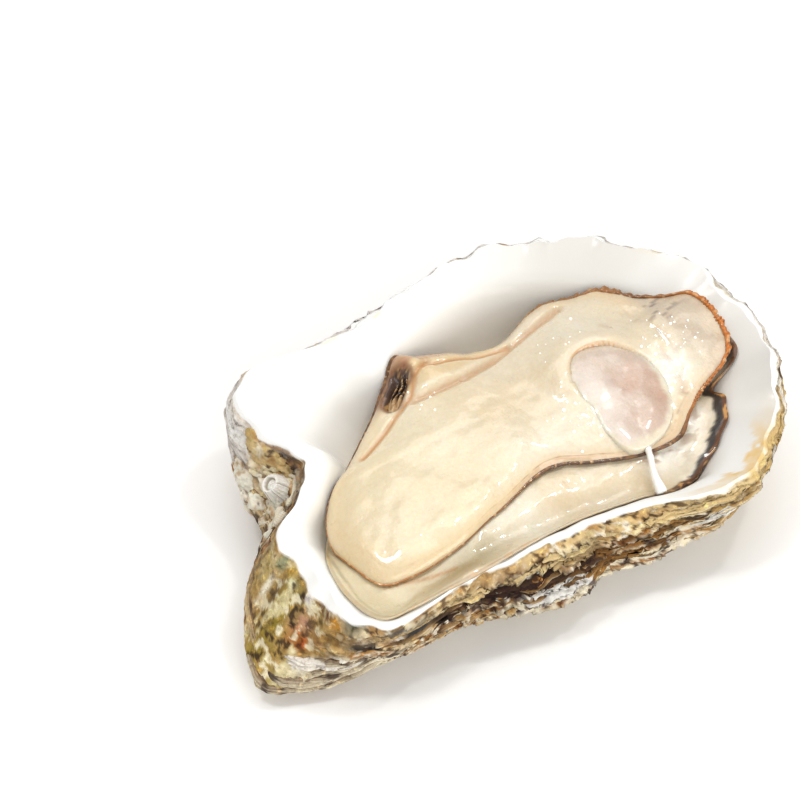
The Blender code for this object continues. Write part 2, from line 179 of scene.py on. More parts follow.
NACRE = (0.93, 0.925, 0.895)
NACRE_SHADE = (0.93, 0.92, 0.895)
LAYER_EDGE = (0.90, 0.79, 0.56)
LAYER_TAN = (0.60, 0.36, 0.13)
LAYER_OCHRE = (0.36, 0.15, 0.03)
# Painted shade, near black, for the recesses and crevices between the flaking layers.
LAYER_RECESS_SHADE = (0.03, 0.017, 0.014)
CHALK = (0.74, 0.65, 0.50)
SLATE = (0.16, 0.13, 0.14)
# Stains and bare patches: angle, stop, their half sizes, colour, strength.
STAINS = [
    (190, 0.5, 8, 0.6, (0.54, 0.40, 0.14), 0.85), (185.6, 0.62, 3, 0.5, (0.36, 0.27, 0.05), 0.95),
    (191, 0.94, 2.6, 0.16, (0.46, 0.35, 0.11), 0.9), (182.5, 0.4, 0.7, 0.3, (0.17, 0.1, 0.05), 0.75),
    (177, 0.4, 3.4, 0.4, (0.60, 0.46, 0.19), 0.85),
    (174.8, 0.5, 0.8, 0.35, (0.15, 0.09, 0.04), 0.85), (180, 0.5, 0.6, 0.2, (0.95, 0.89, 0.74), 0.9),
    (180.2, 0.1, 1.0, 0.08, (0.02, 0.12, 0.07), 1), (183.4, 0.09, 1.4, 0.06, (0.62, 0.4, 0.08), 0.95),
    (184.8, 0.16, 1.2, 0.06, (0.84, 0.80, 0.5), 0.95), (188.5, 0.22, 0.9, 0.06, (0.03, 0.02, 0.015), 1),
    (190.5, 0.13, 1.2, 0.1, (0.86, 0.8, 0.76), 0.95), (195, 0.1, 2, 0.07, (0.14, 0.06, 0.035), 1),
    (202, 0.05, 2.4, 0.05, (0.02, 0.045, 0.03), 1), (198.6, 0.13, 1.5, 0.06, (0.52, 0.27, 0.05), 0.9),
    (191.5, 0.38, 3, 0.13, (0.56, 0.33, 0.21), 0.85), (192, 0.54, 2.3, 0.09, (0.58, 0.13, 0.02), 0.95),
    (195.5, 0.43, 1.3, 0.06, (0.5, 0.16, 0.06), 0.7), (194, 0.76, 1.8, 0.055, (0.99, 0.96, 0.9), 1),
    (197.2, 0.68, 1.9, 0.055, (0.99, 0.96, 0.9), 1), (200.5, 0.59, 1.9, 0.05, (0.97, 0.92, 0.82), 1),
    (203.5, 0.38, 1.4, 0.07, (0.02, 0.015, 0.015), 1), (207, 0.44, 1.2, 0.06, (0.02, 0.015, 0.015), 1),
    (198.5, 0.9, 4, 0.12, (0.95, 0.90, 0.74), 0.9), (206.5, 0.24, 3, 0.1, (0.68, 0.52, 0.33), 0.7),
    (215, 0.2, 2.8, 0.12, (0.06, 0.06, 0.06), 0.9), (211, 0.1, 2, 0.06, (0.1, 0.09, 0.08), 0.7),
    (238, 0.12, 4.5, 0.045, (0.06, 0.025, 0.03), 1), (229, 0.23, 4, 0.05, (0.045, 0.02, 0.028), 1),
    (256, 0.7, 5, 0.11, (0.98, 0.96, 0.88), 1), (246, 0.6, 4, 0.09, (0.95, 0.9, 0.8), 0.9),
    (271, 0.38, 6, 0.12, (0.33, 0.12, 0.025), 0.9), (260, 0.2, 4, 0.05, (0.4, 0.2, 0.06), 0.8),
    (280, 0.35, 2.6, 0.05, (0.05, 0.018, 0.01), 1), (290, 0.3, 4, 0.07, (0.6, 0.36, 0.1), 0.7),
    (318, 0.7, 13, 0.9, (0.60, 0.40, 0.13), 0.85), (303, 0.62, 8, 0.08, (0.95, 0.92, 0.82), 0.95),
    (313, 0.2, 5, 0.06, (0.42, 0.26, 0.08), 0.7), (232, 0.07, 12, 0.05, (0.66, 0.44, 0.2), 0.6),
    (153, 0.12, 2.6, 0.08, (0.09, 0.055, 0.03), 1), (158.5, 0.13, 2.6, 0.06, (0.1, 0.06, 0.035), 1),
    (162.5, 0.1, 2.4, 0.07, (0.2, 0.13, 0.07), 0.9), (163.5, 0.3, 2.6, 0.16, (0.5, 0.42, 0.29), 0.8),
    (151, 0.5, 3, 0.16, (0.82, 0.68, 0.4), 0.85), (169.8, 0.55, 2.6, 0.4, (0.07, 0.035, 0.02), 1),
    (158, 0.8, 4, 0.14, (0.62, 0.5, 0.3), 0.8), (137, 0.35, 8, 0.45, (0.95, 0.93, 0.87), 0.8),
    (146, 0.3, 3, 0.2, (0.8, 0.79, 0.77), 0.9), (126, 0.05, 3.5, 0.045, (0.62, 0.4, 0.13), 0.9),
]


def smoothed(rows):
    """The table's values at every half degree, on a smooth closed curve through its rows."""
    rows = np.array(rows, float)
    angles = np.concatenate([rows[-2:, 0] - 360, rows[:, 0], rows[:2, 0] + 360])
    values = np.concatenate([rows[-2:, 1:], rows[:, 1:], rows[:2, 1:]])
    slopes = (values[2:] - values[:-2]) / (angles[2:] - angles[:-2])[:, None]
    angles, values = angles[1:-1], values[1:-1]
    grid = np.arange(0, 360, 0.5)
    start = np.searchsorted(angles, grid, side="right") - 1
    span = (angles[start + 1] - angles[start])[:, None]
    part = (grid - angles[start])[:, None] / span
    rise = part**2 * (3 - 2 * part)
    curve = values[start] * (1 - rise) + values[start + 1] * rise
    curve += span * slopes[start] * part * (1 - part) ** 2
    curve -= span * slopes[start + 1] * part**2 * (1 - part)
    return grid, curve


TABLES = {
    "rim": smoothed(RIM), "skirt": smoothed(SKIRT), "bulge": smoothed(BULGE),
    "wall": smoothed(WALL), "flakiness": smoothed(FLAKINESS),
}


def at(table, angle):
    """The named table's columns at angles in degrees."""
    grid, curve = TABLES[table]
    return [np.interp(angle, grid, column, period=360) for column in curve.T]


def eased(value):
    """A smooth rise from 0 to 1 as the value goes from 0 to 1."""
    value = np.clip(value, 0, 1)
    return value**3 * (value * (6 * value - 15) + 10)


def mix(first, second, share):
    return first + (second - first) * share


def blot(value, middle, half_width):
    """A bell-shaped weight round a middle value."""
    return np.exp(-(((value - middle) / half_width) ** 2))


def grain(points, size, seed=0):
    """Smooth random field over points, about one bump to each size, from -1 to 1."""
    cell = np.asarray(points, float) / size + 500
    base = np.floor(cell).astype(np.int64)
    part = cell - base
    part = part * part * (3 - 2 * part)
    total = np.zeros(len(cell))
    for corner in itertools.product((0, 1), repeat=3):
        place = base + corner
        key = place[:, 0] * 73856093 ^ place[:, 1] * 19349663 ^ place[:, 2] * 83492791 ^ seed * 2654435
        key = (key ^ (key >> 13)) * 1274126177 & 0xFFFFFFFF
        value = ((key ^ (key >> 16)) & 0xFFFF) / 32767.5 - 1
        weight = np.prod(np.where(corner, part, 1 - part), axis=1)
        total += value * weight
    return total


def rough(points, size, octaves=3, seed=0):
    """Layers of grain, each half as large and half as strong as the last."""
    total = np.zeros(len(points))
    for octave in range(octaves):
        total += grain(points, size / 2**octave, seed + octave) / 2**octave
    return total


def bearing(x, y, centre=(0, 0)):
    """Compass angle in degrees of places in plan, seen from a centre."""
    return np.degrees(np.arctan2(y - centre[1], x - centre[0])) % 360


def around(angle, reach, centre=(0, 0)):
    """Places in plan at angles in degrees and reaches in mm round a centre."""
    turn = np.radians(angle)
    return centre[0] + reach * np.cos(turn), centre[1] + reach * np.sin(turn)


def rows_of(x, y, z=0.0):
    """Rows of three coordinates, where a bare number fills its whole column."""
    return np.stack(np.broadcast_arrays(x, y, z), axis=1)


def painted(base, points, *coats):
    """A base colour for the points, under coats that are each a colour and its weights."""
    colours = np.broadcast_to(base, (len(points), 3))
    for colour, weight in coats:
        colours = colours + (np.asarray(colour) - colours) * np.clip(weight, 0, 1)[:, None]
    return colours


def cavity_height(x, y):
    """Height of the shell's lining."""
    angle = bearing(x, y)
    rim_radius, rim_height = at("rim", angle)
    place, half_width, flare = at("wall", angle)
    share = np.minimum(np.hypot(x, y) / rim_radius, 1)
    wall = eased((share - place + half_width) / (2 * half_width))
    return FLOOR_HEIGHT + (rim_height - FLOOR_HEIGHT) * ((1 - flare) * wall + flare * share**3)


def rim_ruffle(angle):
    """Scallops of the margin, strongest at the wide end: outward and upward shares in mm."""
    turn = np.radians(angle)
    strength = (0.35 + 0.4 * np.cos(turn - math.radians(20)) ** 2) * (1 - 0.75 * blot(angle, 255, 45))
    across = np.sin(turn * 17) + 0.6 * np.sin(turn * 29 + 0.7) + 0.35 * np.sin(turn * 61)
    upward = np.sin(turn * 13 + 1.2) + 0.5 * np.sin(turn * 23) + 0.3 * np.sin(turn * 47 + 2)
    return strength * across, 0.7 * strength * upward


def layering(angle, stop):
    """The thin layer and the thick slab at a place, each with how far along it the place lies."""
    coarse = rows_of(*around(angle, 4), stop * 1.2)
    fine = rows_of(*around(angle, 12), stop * 3)
    tatter = 0.16 * grain(fine * 3, 1, 8)
    place = stop * LAYERS + 1.4 * grain(coarse, 1, 3) + 0.35 * grain(fine, 1, 4) + tatter
    slab = stop * SLABS + 0.9 * grain(coarse * 1.2, 1, 6) + 0.22 * grain(fine, 1, 7) + 0.6 * tatter
    return np.floor(place), place - np.floor(place), np.floor(slab), slab - np.floor(slab)


def outside(angle, stop, detail=1.0):
    """Points of the outside: stop 0 is the crest, 1 the widest line, 2 the base, 3 the foot."""
    rim_radius, rim_height = at("rim", angle)
    skirt_radius, skirt_height = at("skirt", angle)
    bulge = at("bulge", angle)[0]
    step = at("flakiness", angle)[0]
    ruffle, lift = rim_ruffle(angle)
    turn = np.radians(angle)
    base_radius = 1 / np.hypot(np.cos(turn) / BASE[0], np.sin(turn) / BASE[1])
    foot_radius = 1 / np.hypot(np.cos(turn) / FOOT[0], np.sin(turn) / FOOT[1])
    lip = np.minimum(stop / 0.1, 1)
    upper = np.clip(stop, 0, 1)
    lower = np.clip(stop - 1, 0, 1) * math.pi / 2
    layer, along, slab, reached = layering(angle, stop)
    edge = 0.5 * (along**2.2 - 0.35) + 0.95 * (reached**2.6 - 0.3)
    fade = eased(1.15 - 0.5 * stop) * np.minimum(stop / 0.1, 1) ** 1.5
    radius = mix(rim_radius, skirt_radius, upper) + bulge * np.sin(np.pi * upper)
    radius += (LIP_WIDTH * lip + ruffle) * (1 - upper)
    height = mix(rim_height + lift, skirt_height, upper) - LIP_DROP * lip * (1 - upper)
    radius = np.where(stop > 1, mix(base_radius, skirt_radius, np.cos(lower)), radius)
    height = np.where(stop > 1, mix(skirt_height, BASE_HEIGHT, np.sin(lower)), height)
    toward_foot = np.clip(stop - 2, 0, 1)
    radius = np.where(stop > 2, mix(base_radius, foot_radius, toward_foot), radius)
    height = np.where(stop > 2, BASE_HEIGHT * (1 - toward_foot), height)
    radius = np.where(stop > 3, foot_radius * (4 - stop), radius)
    points = rows_of(*around(angle, radius), height)
    bumps = rough(points, 5, 4, 11) * 0.8 + rough(points, 1.5, 3, 17) * 0.3
    outward = (step * edge + bumps) * fade * detail
    drop = -0.45 * step * (0.4 * along**3 + 0.9 * reached**3) * fade * detail
    points[:, 0] += outward * np.cos(turn)
    points[:, 1] += outward * np.sin(turn)
    points[:, 2] = np.maximum(points[:, 2] + drop * eased(2 - stop), 0)
    return points, (layer, along, slab, reached)


def even_angles(count):
    """Compass angles of the columns, close together on the near side and the beak."""
    grid = np.arange(0, 360.5, 0.5)
    reach = (TABLES["rim"][1][:, 0] + TABLES["skirt"][1][:, 0]) / 2
    reach = np.append(reach, reach[0])
    turns = np.radians(grid)
    steps = np.hypot(np.diff(reach * np.cos(turns)), np.diff(reach * np.sin(turns)))
    steps *= 1 + 0.9 * ((grid[:-1] > 140) & (grid[:-1] < 330))
    along = np.concatenate([[0], np.cumsum(steps)])
    return np.interp(np.arange(count) * along[-1] / count, along, grid)


def sphere(columns, rings):
    """A UV sphere as a bmesh, with the ring from the top and the column of each vertex."""
    mesh = bmesh.new()
    bmesh.ops.create_uvsphere(mesh, u_segments=columns, v_segments=rings, radius=1)
    places = np.array([vert.co for vert in mesh.verts])
    ring = np.round(np.arccos(np.clip(places[:, 2], -1, 1)) / math.pi * rings).astype(int)
    column = np.round(np.arctan2(places[:, 1], places[:, 0]) / (2 * math.pi) * columns).astype(int)
    return mesh, ring, column % columns


def finished(mesh, name, points, colours, material):
    """Moves a bmesh's vertices to points in mm and makes it a smooth piece with its colours."""
    data = bpy.data.meshes.new(name)
    mesh.to_mesh(data)
    mesh.free()
    data.vertices.foreach_set("co", (points * MM).astype(np.float32).ravel())
    tint = data.attributes.new("tint", "FLOAT_COLOR", "POINT")
    rgba = np.concatenate([np.clip(colours, 0, 1), np.ones((len(colours), 1))], axis=1)
    tint.data.foreach_set("color", rgba.astype(np.float32).ravel())
    data.shade_smooth()
    data.materials.append(material)
    obj = bpy.data.objects.new(name, data)
    scene.collection.objects.link(obj)
    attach(obj, "root")
    return obj


def measure(data, name, values):
    """Stores one number a vertex on a mesh."""
    data.attributes.new(name, "FLOAT", "POINT").data.foreach_set("value", values.astype(np.float32))


class Nodes:
    """Short calls for building one material."""

    def __init__(self, name):
        self.material = bpy.data.materials.new(name)
        self.material.use_nodes = True
        self.tree = self.material.node_tree
        self.shader = self.tree.nodes["Principled BSDF"]

    def set(self, **values):
        for socket, value in values.items():
            self.shader.inputs[socket.replace("_", " ")].default_value = value

    def add(self, kind, **values):
        node = self.tree.nodes.new(kind)
        for name, value in values.items():
            setattr(node, name, value)
        return node

    def link(self, source, target):
        self.tree.links.new(source, target)

    def stored(self, name):
        return self.add("ShaderNodeAttribute", attribute_name=name)

    def noise(self, scale, detail=4, roughness=0.6):
        texture = self.add("ShaderNodeTexNoise")
        texture.inputs["Scale"].default_value = scale
        texture.inputs["Detail"].default_value = detail
        texture.inputs["Roughness"].default_value = roughness
        where = self.add("ShaderNodeTexCoord")
        self.link(where.outputs["Object"], texture.inputs["Vector"])
        return texture.outputs["Fac"]

    def ramp(self, source, low, high, start=0.0, end=1.0):
        node = self.add("ShaderNodeMapRange")
        node.inputs["From Min"].default_value = low
        node.inputs["From Max"].default_value = high
        node.inputs["To Min"].default_value = start
        node.inputs["To Max"].default_value = end
        self.link(source, node.inputs["Value"])
        return node.outputs["Result"]

    def maths(self, first, second, operation="ADD"):
        node = self.add("ShaderNodeMath", operation=operation)
        self.link(first, node.inputs[0])
        if isinstance(second, (int, float)):
            node.inputs[1].default_value = second
        else:
            self.link(second, node.inputs[1])
        return node.outputs[0]

    def blend(self, weight, first, second, kind="MIX"):
        node = self.add("ShaderNodeMix", data_type="RGBA", blend_type=kind)
        self.link(weight, node.inputs["Factor"])
        for value, socket in ((first, node.inputs["A"]), (second, node.inputs["B"])):
            if isinstance(value, tuple):
                socket.default_value = (*value, 1)
            else:
                self.link(value, socket)
        return node.outputs["Result"]

    def bump(self, source, depth, strength=1.0):
        node = self.add("ShaderNodeBump")
        node.inputs["Distance"].default_value = depth
        node.inputs["Strength"].default_value = strength
        self.link(source, node.inputs["Height"])
        self.link(node.outputs["Normal"], self.shader.inputs["Normal"])
        return node


def shell_material():
    made = Nodes("oyster shell")
    tint = made.stored("tint").outputs["Color"]
    lining = made.stored("lining").outputs["Fac"]
    speckle = made.ramp(made.noise(900, 5, 0.7), 0.36, 0.62)
    bands = made.ramp(made.noise(260, 6, 0.75), 0.35, 0.65)
    outer = made.blend(speckle, made.blend(bands, tint, (0.16, 0.1, 0.06), "MULTIPLY"), tint)
    darker = made.blend(made.ramp(speckle, 0, 1, 0.3, 1), outer, tint)
    glint = made.ramp(made.noise(620, 6, 0.75), 0.54, 0.66, 0, 0.9)
    outer_soft = made.blend(glint, darker, (0.90, 0.83, 0.70), "OVERLAY")
    made.link(made.blend(lining, outer_soft, tint), made.shader.inputs["Base Color"])
    made.link(made.ramp(lining, 0, 1, 0.72, 0.2), made.shader.inputs["Roughness"])
    made.set(Specular_IOR_Level=0.22)
    pits = made.maths(made.noise(1400, 6, 0.75), made.noise(420, 4, 0.6))
    chalky = made.maths(pits, made.ramp(lining, 0, 1, 1, 0.04), "MULTIPLY")
    made.bump(chalky, 0.0004, 0.9)
    return made.material


angles = even_angles(SHELL_COLUMNS)
shell_mesh, ring, column = sphere(SHELL_COLUMNS, INNER_RINGS + OUTER_RINGS + UNDER_RINGS)
angle = angles[column]
inner_share = np.sin(np.clip(ring / INNER_RINGS, 0, 1) * math.pi / 2)
stop = np.clip((ring - INNER_RINGS) / OUTER_RINGS, 0, 1)
stop += np.interp(ring - INNER_RINGS - OUTER_RINGS, [0, 40, 50, UNDER_RINGS], [0, 1, 2, 3])
skin, (layer, along, slab, reached) = outside(angle, stop)
rim_radius = at("rim", angle)[0]
ruffle, lift = rim_ruffle(angle)
fade = inner_share**14
reach = rim_radius * inner_share
lining_height = cavity_height(*around(angle, reach)) + lift * fade
lining_points = rows_of(*around(angle, reach + ruffle * fade), lining_height)
swell = rough(lining_points, 14, 2, 5) * 0.35 * np.sin(math.pi * np.minimum(inner_share, 1)) ** 0.5
lining_points[:, 2] += swell * (inner_share > 0.5)
inside = ring <= INNER_RINGS
points = np.where(inside[:, None], lining_points, skin)

hue = grain(rows_of(slab * 3.1 + layer, angle / 14, stop), 1, 21)
streak = rough(rows_of(angle / 5, stop * 9, layer), 1, 3, 23)
patch = rough(rows_of(angle / 9, stop * 4, slab), 1, 3, 25)
pale = rough(rows_of(angle / 7, stop * 7), 1, 4, 26)
ridge = rough(rows_of(angle / 15, stop * 15), 1, 3, 34)
radial = rough(rows_of(angle * 0.9, stop * 1.6), 1, 3, 29)
facet = rough(rows_of(angle / 1.6, stop * 2.5), 1, 3, 30)
crumb = rough(points, 1.2, 3, 28)
mottle = rough(points, 1.5, 3, 27)
sharp = np.clip(at("flakiness", angle)[0], 0.1, 1)
upper_band = eased((0.36 - stop) / 0.18) * blot(angle, NEAR_SIDE, 62)
# Painted shade on the near flank: under each slab's overhang, in its crevices and in a hollow.
slab_recess_shade = eased((0.52 + 0.2 * streak - reached) / 0.16) * 0.95 * sharp
crevice_shade = blot(stop, 0.46, 0.24) * blot(angle, CREVICE, 30) * eased((ridge + 0.08) / 0.22)
hollow_shade = blot(stop, 0.46, 0.2) * blot(angle, 240, 30) * eased((0.5 - reached) / 0.14)
beak = blot(angle, BEAK, 15) ** 2 * eased((stop - 0.03) / 0.05)
pit = blot(angle, NOTCH, 6.5)
growth_arcs = eased((np.sin(stop * 110 + mottle) - 0.3) / 0.5)
shoulder = blot(angle, SHOULDER, 7) * eased((1.15 - stop) / 0.5) * (1 + 0.9 * pale)
wide_end = blot(angle, WIDE_END, 28) + blot(angle + 360, WIDE_END, 28)
stain_coats = [
    (colour, blot(angle, place, wide) * blot(stop, down, tall) * strength * (1.15 + 0.6 * streak))
    for place, down, wide, tall, colour, strength in STAINS
]
flank = painted(
    LAYER_TAN, points,
    (LAYER_OCHRE, 0.45 + hue * 1.2),
    (LAYER_EDGE, eased((along - 0.6) / 0.35) * eased(0.4 + 0.9 * pale) * sharp),
    (LAYER_EDGE, eased((reached - 0.82) / 0.12) * (0.9 + 0.5 * hue) * sharp),
    (SLATE, eased((patch - 0.3) / 0.4) * eased((streak + 0.2) / 0.5) * 0.9),
    # painted shade in the recesses under each layer and slab, and in the crevices and hollow
    (LAYER_RECESS_SHADE, eased((0.46 - along) / 0.25) * eased(0.4 + 1.2 * streak) * sharp),
    (LAYER_RECESS_SHADE, slab_recess_shade * (1 - 0.65 * upper_band)),
    ((0.88, 0.70, 0.38), upper_band * (0.55 + 0.35 * streak)),
    (LAYER_RECESS_SHADE, crevice_shade * 0.95),
    (LAYER_RECESS_SHADE, 1.2 * hollow_shade),
    ((0.97, 0.89, 0.70), eased((stop - 0.5) / 0.2) * eased((-0.15 - ridge) / 0.2) * sharp * 0.85),
    ((0.06, 0.028, 0.016), eased((crumb - 0.3) / 0.2) * 0.9 * sharp),
    ((0.93, 0.86, 0.72), eased((-0.4 - crumb) / 0.25) * 0.85 * sharp),
    (CHALK, eased((stop - 1) / 0.9) * (0.7 + 0.35 * pale)),
    *stain_coats,
    ((0.26, 0.18, 0.05), beak * eased((radial - 0.25) / 0.25) * 0.6),
    ((0.06, 0.035, 0.02), beak * eased((mottle - 0.4) / 0.2) * 0.9),
    ((0.98, 0.90, 0.66), beak * eased((-0.3 - mottle) / 0.18) * 0.85),
    ((0.90, 0.80, 0.50), beak * eased((facet - 0.3) / 0.25) * 0.7),
    ((0.3, 0.2, 0.11), pit * growth_arcs * eased((0.3 - stop) / 0.1) * 0.8),
    ((0.97, 0.95, 0.9), 1.1 * shoulder),
    ((0.88, 0.80, 0.62), wide_end * eased(1.1 + 0.5 * streak - 0.4 * stop) * 0.8),
)
yearly = 0.5 + 0.5 * np.sin(stop * 26 + 3 * rough(points, 14, 2, 68))
worn = painted(
    CHALK, points,
    (LAYER_TAN, 0.5 * eased(0.35 + 0.7 * rough(points, 11, 3, 64))),
    (SLATE, 0.5 * eased((rough(points, 9, 2, 66) - 0.3) / 0.5)),
    ((0.9, 0.84, 0.7), 0.45 * yearly),
    ((0.2, 0.12, 0.07), 0.7 * eased((crumb - 0.55) / 0.3) * eased((2.6 - stop) / 0.4)),
)
far_side = blot((angle + 60) % 360, 110, 62)
ragged = 1 + 0.8 * rough(rows_of(angle / 4, 0), 1, 3, 32)
crest_width = 0.045 + 0.34 * far_side * ragged + 0.05 * blot(angle, 192, 8) - 0.045 * pit
crest = eased((crest_width - stop) / (0.02 + 0.12 * far_side))
rust_grain = rough(points, 1.5, 3, 35)
rusty_crest = blot(angle, RUST, 10) * (stop < 0.12) * (0.9 + 0.6 * rust_grain)
outer_tint = painted(
    mix(flank, worn, eased((stop - 1.3) / 0.6)[:, None]), points,
    (NACRE, crest),
    ((0.74, 0.55, 0.26), rusty_crest),
)
shade = eased((0.9 - inner_share) / 0.35) * (0.55 + 0.45 * rough(points, 18, 2, 31))
# Painted shade: the lining's ledge at the wide end is greyed.
ledge_shade = blot(angle, 335, 40) + blot(angle, 25, 30)
rust_line = inner_share - 0.95 + 0.035 * rough(points, 3, 3, 33)
rust = blot(angle, RUST, 10) * eased(rust_line / 0.012)
spots = eased((rough(points, 3.5, 3, 37) - 0.3) / 0.3) * eased((inner_share - 0.97) / 0.03)
lining_tint = painted(
    NACRE, points,
    (NACRE_SHADE, shade),
    ((0.64, 0.62, 0.58), ledge_shade * eased((inner_share - 0.55) / 0.2) * 0.8),
    ((0.72, 0.5, 0.2), rust * (0.85 + 0.4 * rust_grain)),
    ((0.8, 0.64, 0.38), spots * blot(angle, 80, 60) * 0.6),
)
colours = np.where(inside[:, None], lining_tint, outer_tint)

shell = finished(shell_mesh, "cupped_shell", points, colours, shell_material())
measure(shell.data, "lining", np.where(inside, 1.0, crest))
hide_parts("shell")


# ---- Lower mantle lobe ------------------------------------------------------------------------
# The flap of mantle that lines the shell: a wet cream sheet with a swollen rim. Its free margin at
# the wide end has a purple-black band with fine rays and a brown outer hem.

# Angle, radius of the edge, height of the swollen rim.
LOWER_EDGE = [
    (0, 44, 20), (20, 34, 17), (45, 25, 14), (90, 19, 13), (130, 22, 13), (160, 29, 14.5),
    (180, 38.8, 17), (190, 44.2, 19.2), (199, 47.2, 20.2), (207, 48, 20.7), (212, 44.3, 20.9),
    (220, 38.2, 21.2), (232, 32.4, 21.3), (245, 28.7, 21.4), (262, 27, 21.5), (279, 28.8, 21.6),
    (290, 32.2, 21.6), (300, 36.6, 21.4), (312, 41.6, 21.4), (322, 45, 21.6), (330, 46, 22),
    (334, 44.6, 22.4), (337.5, 48.4, 22.8), (341.5, 51.6, 23), (346, 50.8, 22.8), (352, 48, 22),
]
LOWER_PLATEAU = 14.5
LOWER_HEM = 0.8
# A thin brown fold at the near left end, and a crumpled film of membrane near the muscle, in plan.
SECOND_LINE = [(-37, -16), (-33.2, -18.1), (-29.6, -19.6), (-25, -21)]
MEMBRANE = [(20, -25), (27, -24), (33, -20)]

CREAM = (0.73, 0.62, 0.445)
CREAM_PALE = (0.79, 0.73, 0.60)
CREAM_WARM = (0.70, 0.48, 0.24)
GLASSY = (0.42, 0.29, 0.12)
BAND_BLACK = (0.02, 0.012, 0.012)
HEM_BROWN = (0.16, 0.065, 0.02)

TABLES["lower"] = smoothed(LOWER_EDGE)


def distance_to(x, y, route):
    """Distance in plan from each point to a route of straight runs."""
    nearest = np.full(len(x), 1e9)
    for (x0, y0), (x1, y1) in zip(route, route[1:]):
        run_x, run_y = x1 - x0, y1 - y0
        along = np.clip(((x - x0) * run_x + (y - y0) * run_y) / (run_x**2 + run_y**2), 0, 1)
        nearest = np.minimum(nearest, np.hypot(x - x0 - along * run_x, y - y0 - along * run_y))
    return nearest


def lining_bed(x, y, clearance=0.15):
    """Height just clear of the shell's lining, measured square to it."""
    step = 0.4
    slope_x = (cavity_height(x + step, y) - cavity_height(x - step, y)) / (2 * step)
    slope_y = (cavity_height(x, y + step) - cavity_height(x, y - step)) / (2 * step)
    return cavity_height(x, y) + clearance * np.sqrt(1 + slope_x**2 + slope_y**2)


def lower_top(x, y):
    """Height of the lobe's upper face."""
    edge_radius, crest = at("lower", bearing(x, y))
    share = np.hypot(x, y) / edge_radius
    hem = LOWER_HEM * (1 - eased(8 * (share - 1)))
    edge = lining_bed(x, y) + hem
    near = blot(bearing(x, y), 262, 48)
    inside = mix(crest, LOWER_PLATEAU, eased((0.85 - 0.38 * near - share) / 0.4))
    swollen = mix(edge, inside, np.sqrt(np.clip(1 - share**9, 0, 1)))
    return np.maximum(edge, swollen)


def flesh_material(name, gloss, wrinkle, glow):
    """Wet flesh: light spreads a little under the skin, and a film of brine lies on it."""
    made = Nodes(name)
    tint = made.stored("tint").outputs["Color"]
    cloud = made.ramp(made.noise(210, 4, 0.6), 0.3, 0.7)
    fine = made.ramp(made.noise(1300, 3, 0.6), 0.3, 0.7)
    softer = made.blend(cloud, tint, (0.9, 0.82, 0.68), "MULTIPLY")
    clouded = made.blend(made.ramp(cloud, 0, 1, 0.0, 0.22), tint, softer)
    speck = made.blend(made.ramp(fine, 0, 1, 0.3, 0.0), clouded, (0.84, 0.78, 0.68), "MULTIPLY")
    made.link(speck, made.shader.inputs["Base Color"])
    dull = made.ramp(made.noise(500, 3, 0.5), 0.3, 0.7, gloss, gloss + 0.14)
    made.link(dull, made.shader.inputs["Roughness"])
    made.set(Subsurface_Weight=glow, Subsurface_Scale=0.0022, Coat_Weight=0.7, Coat_Roughness=0.06)
    made.shader.inputs["Subsurface Radius"].default_value = (1.0, 0.62, 0.36)
    pores = made.maths(made.noise(1500, 3, 0.6), 0.3, "MULTIPLY")
    made.bump(made.maths(made.noise(330, 4, 0.55), pores), wrinkle, 0.6)
    return made.material


flesh = flesh_material("wet cream flesh", 0.26, 0.0004, 0.35)

LOWER_COLUMNS = 420
LOWER_RINGS = 110
lower_mesh, ring, column = sphere(LOWER_COLUMNS, LOWER_RINGS)
angle = column * 360 / LOWER_COLUMNS
turns = np.radians(angle)
share = np.sin(math.pi * ring / LOWER_RINGS) ** 0.8
edge_radius = at("lower", angle)[0]
ripple = 0.22 * np.sin(turns * 47) * eased((angle - 285) / 10) * eased((352 - angle) / 10)
reach = (edge_radius + ripple) * share
x, y = around(angle, reach)
under = lining_bed(x, y)
top = lower_top(x, y)
flat = rows_of(x, y)
crumple = rough(flat, 1.7, 3, 49)
membrane = blot(distance_to(x, y, MEMBRANE), 0, 3.2)
upper_face = ring * 2 < LOWER_RINGS
top += (rough(flat, 6, 3, 41) * 0.28 + rough(flat, 1.8, 2, 43) * 0.06) * eased((1 - share) / 0.04)
height = np.where(upper_face, top, np.where(ring * 2 > LOWER_RINGS, under, under + LOWER_HEM / 2))
height += np.where(upper_face, membrane * crumple * 0.45, 0)
points = rows_of(x, y, height)

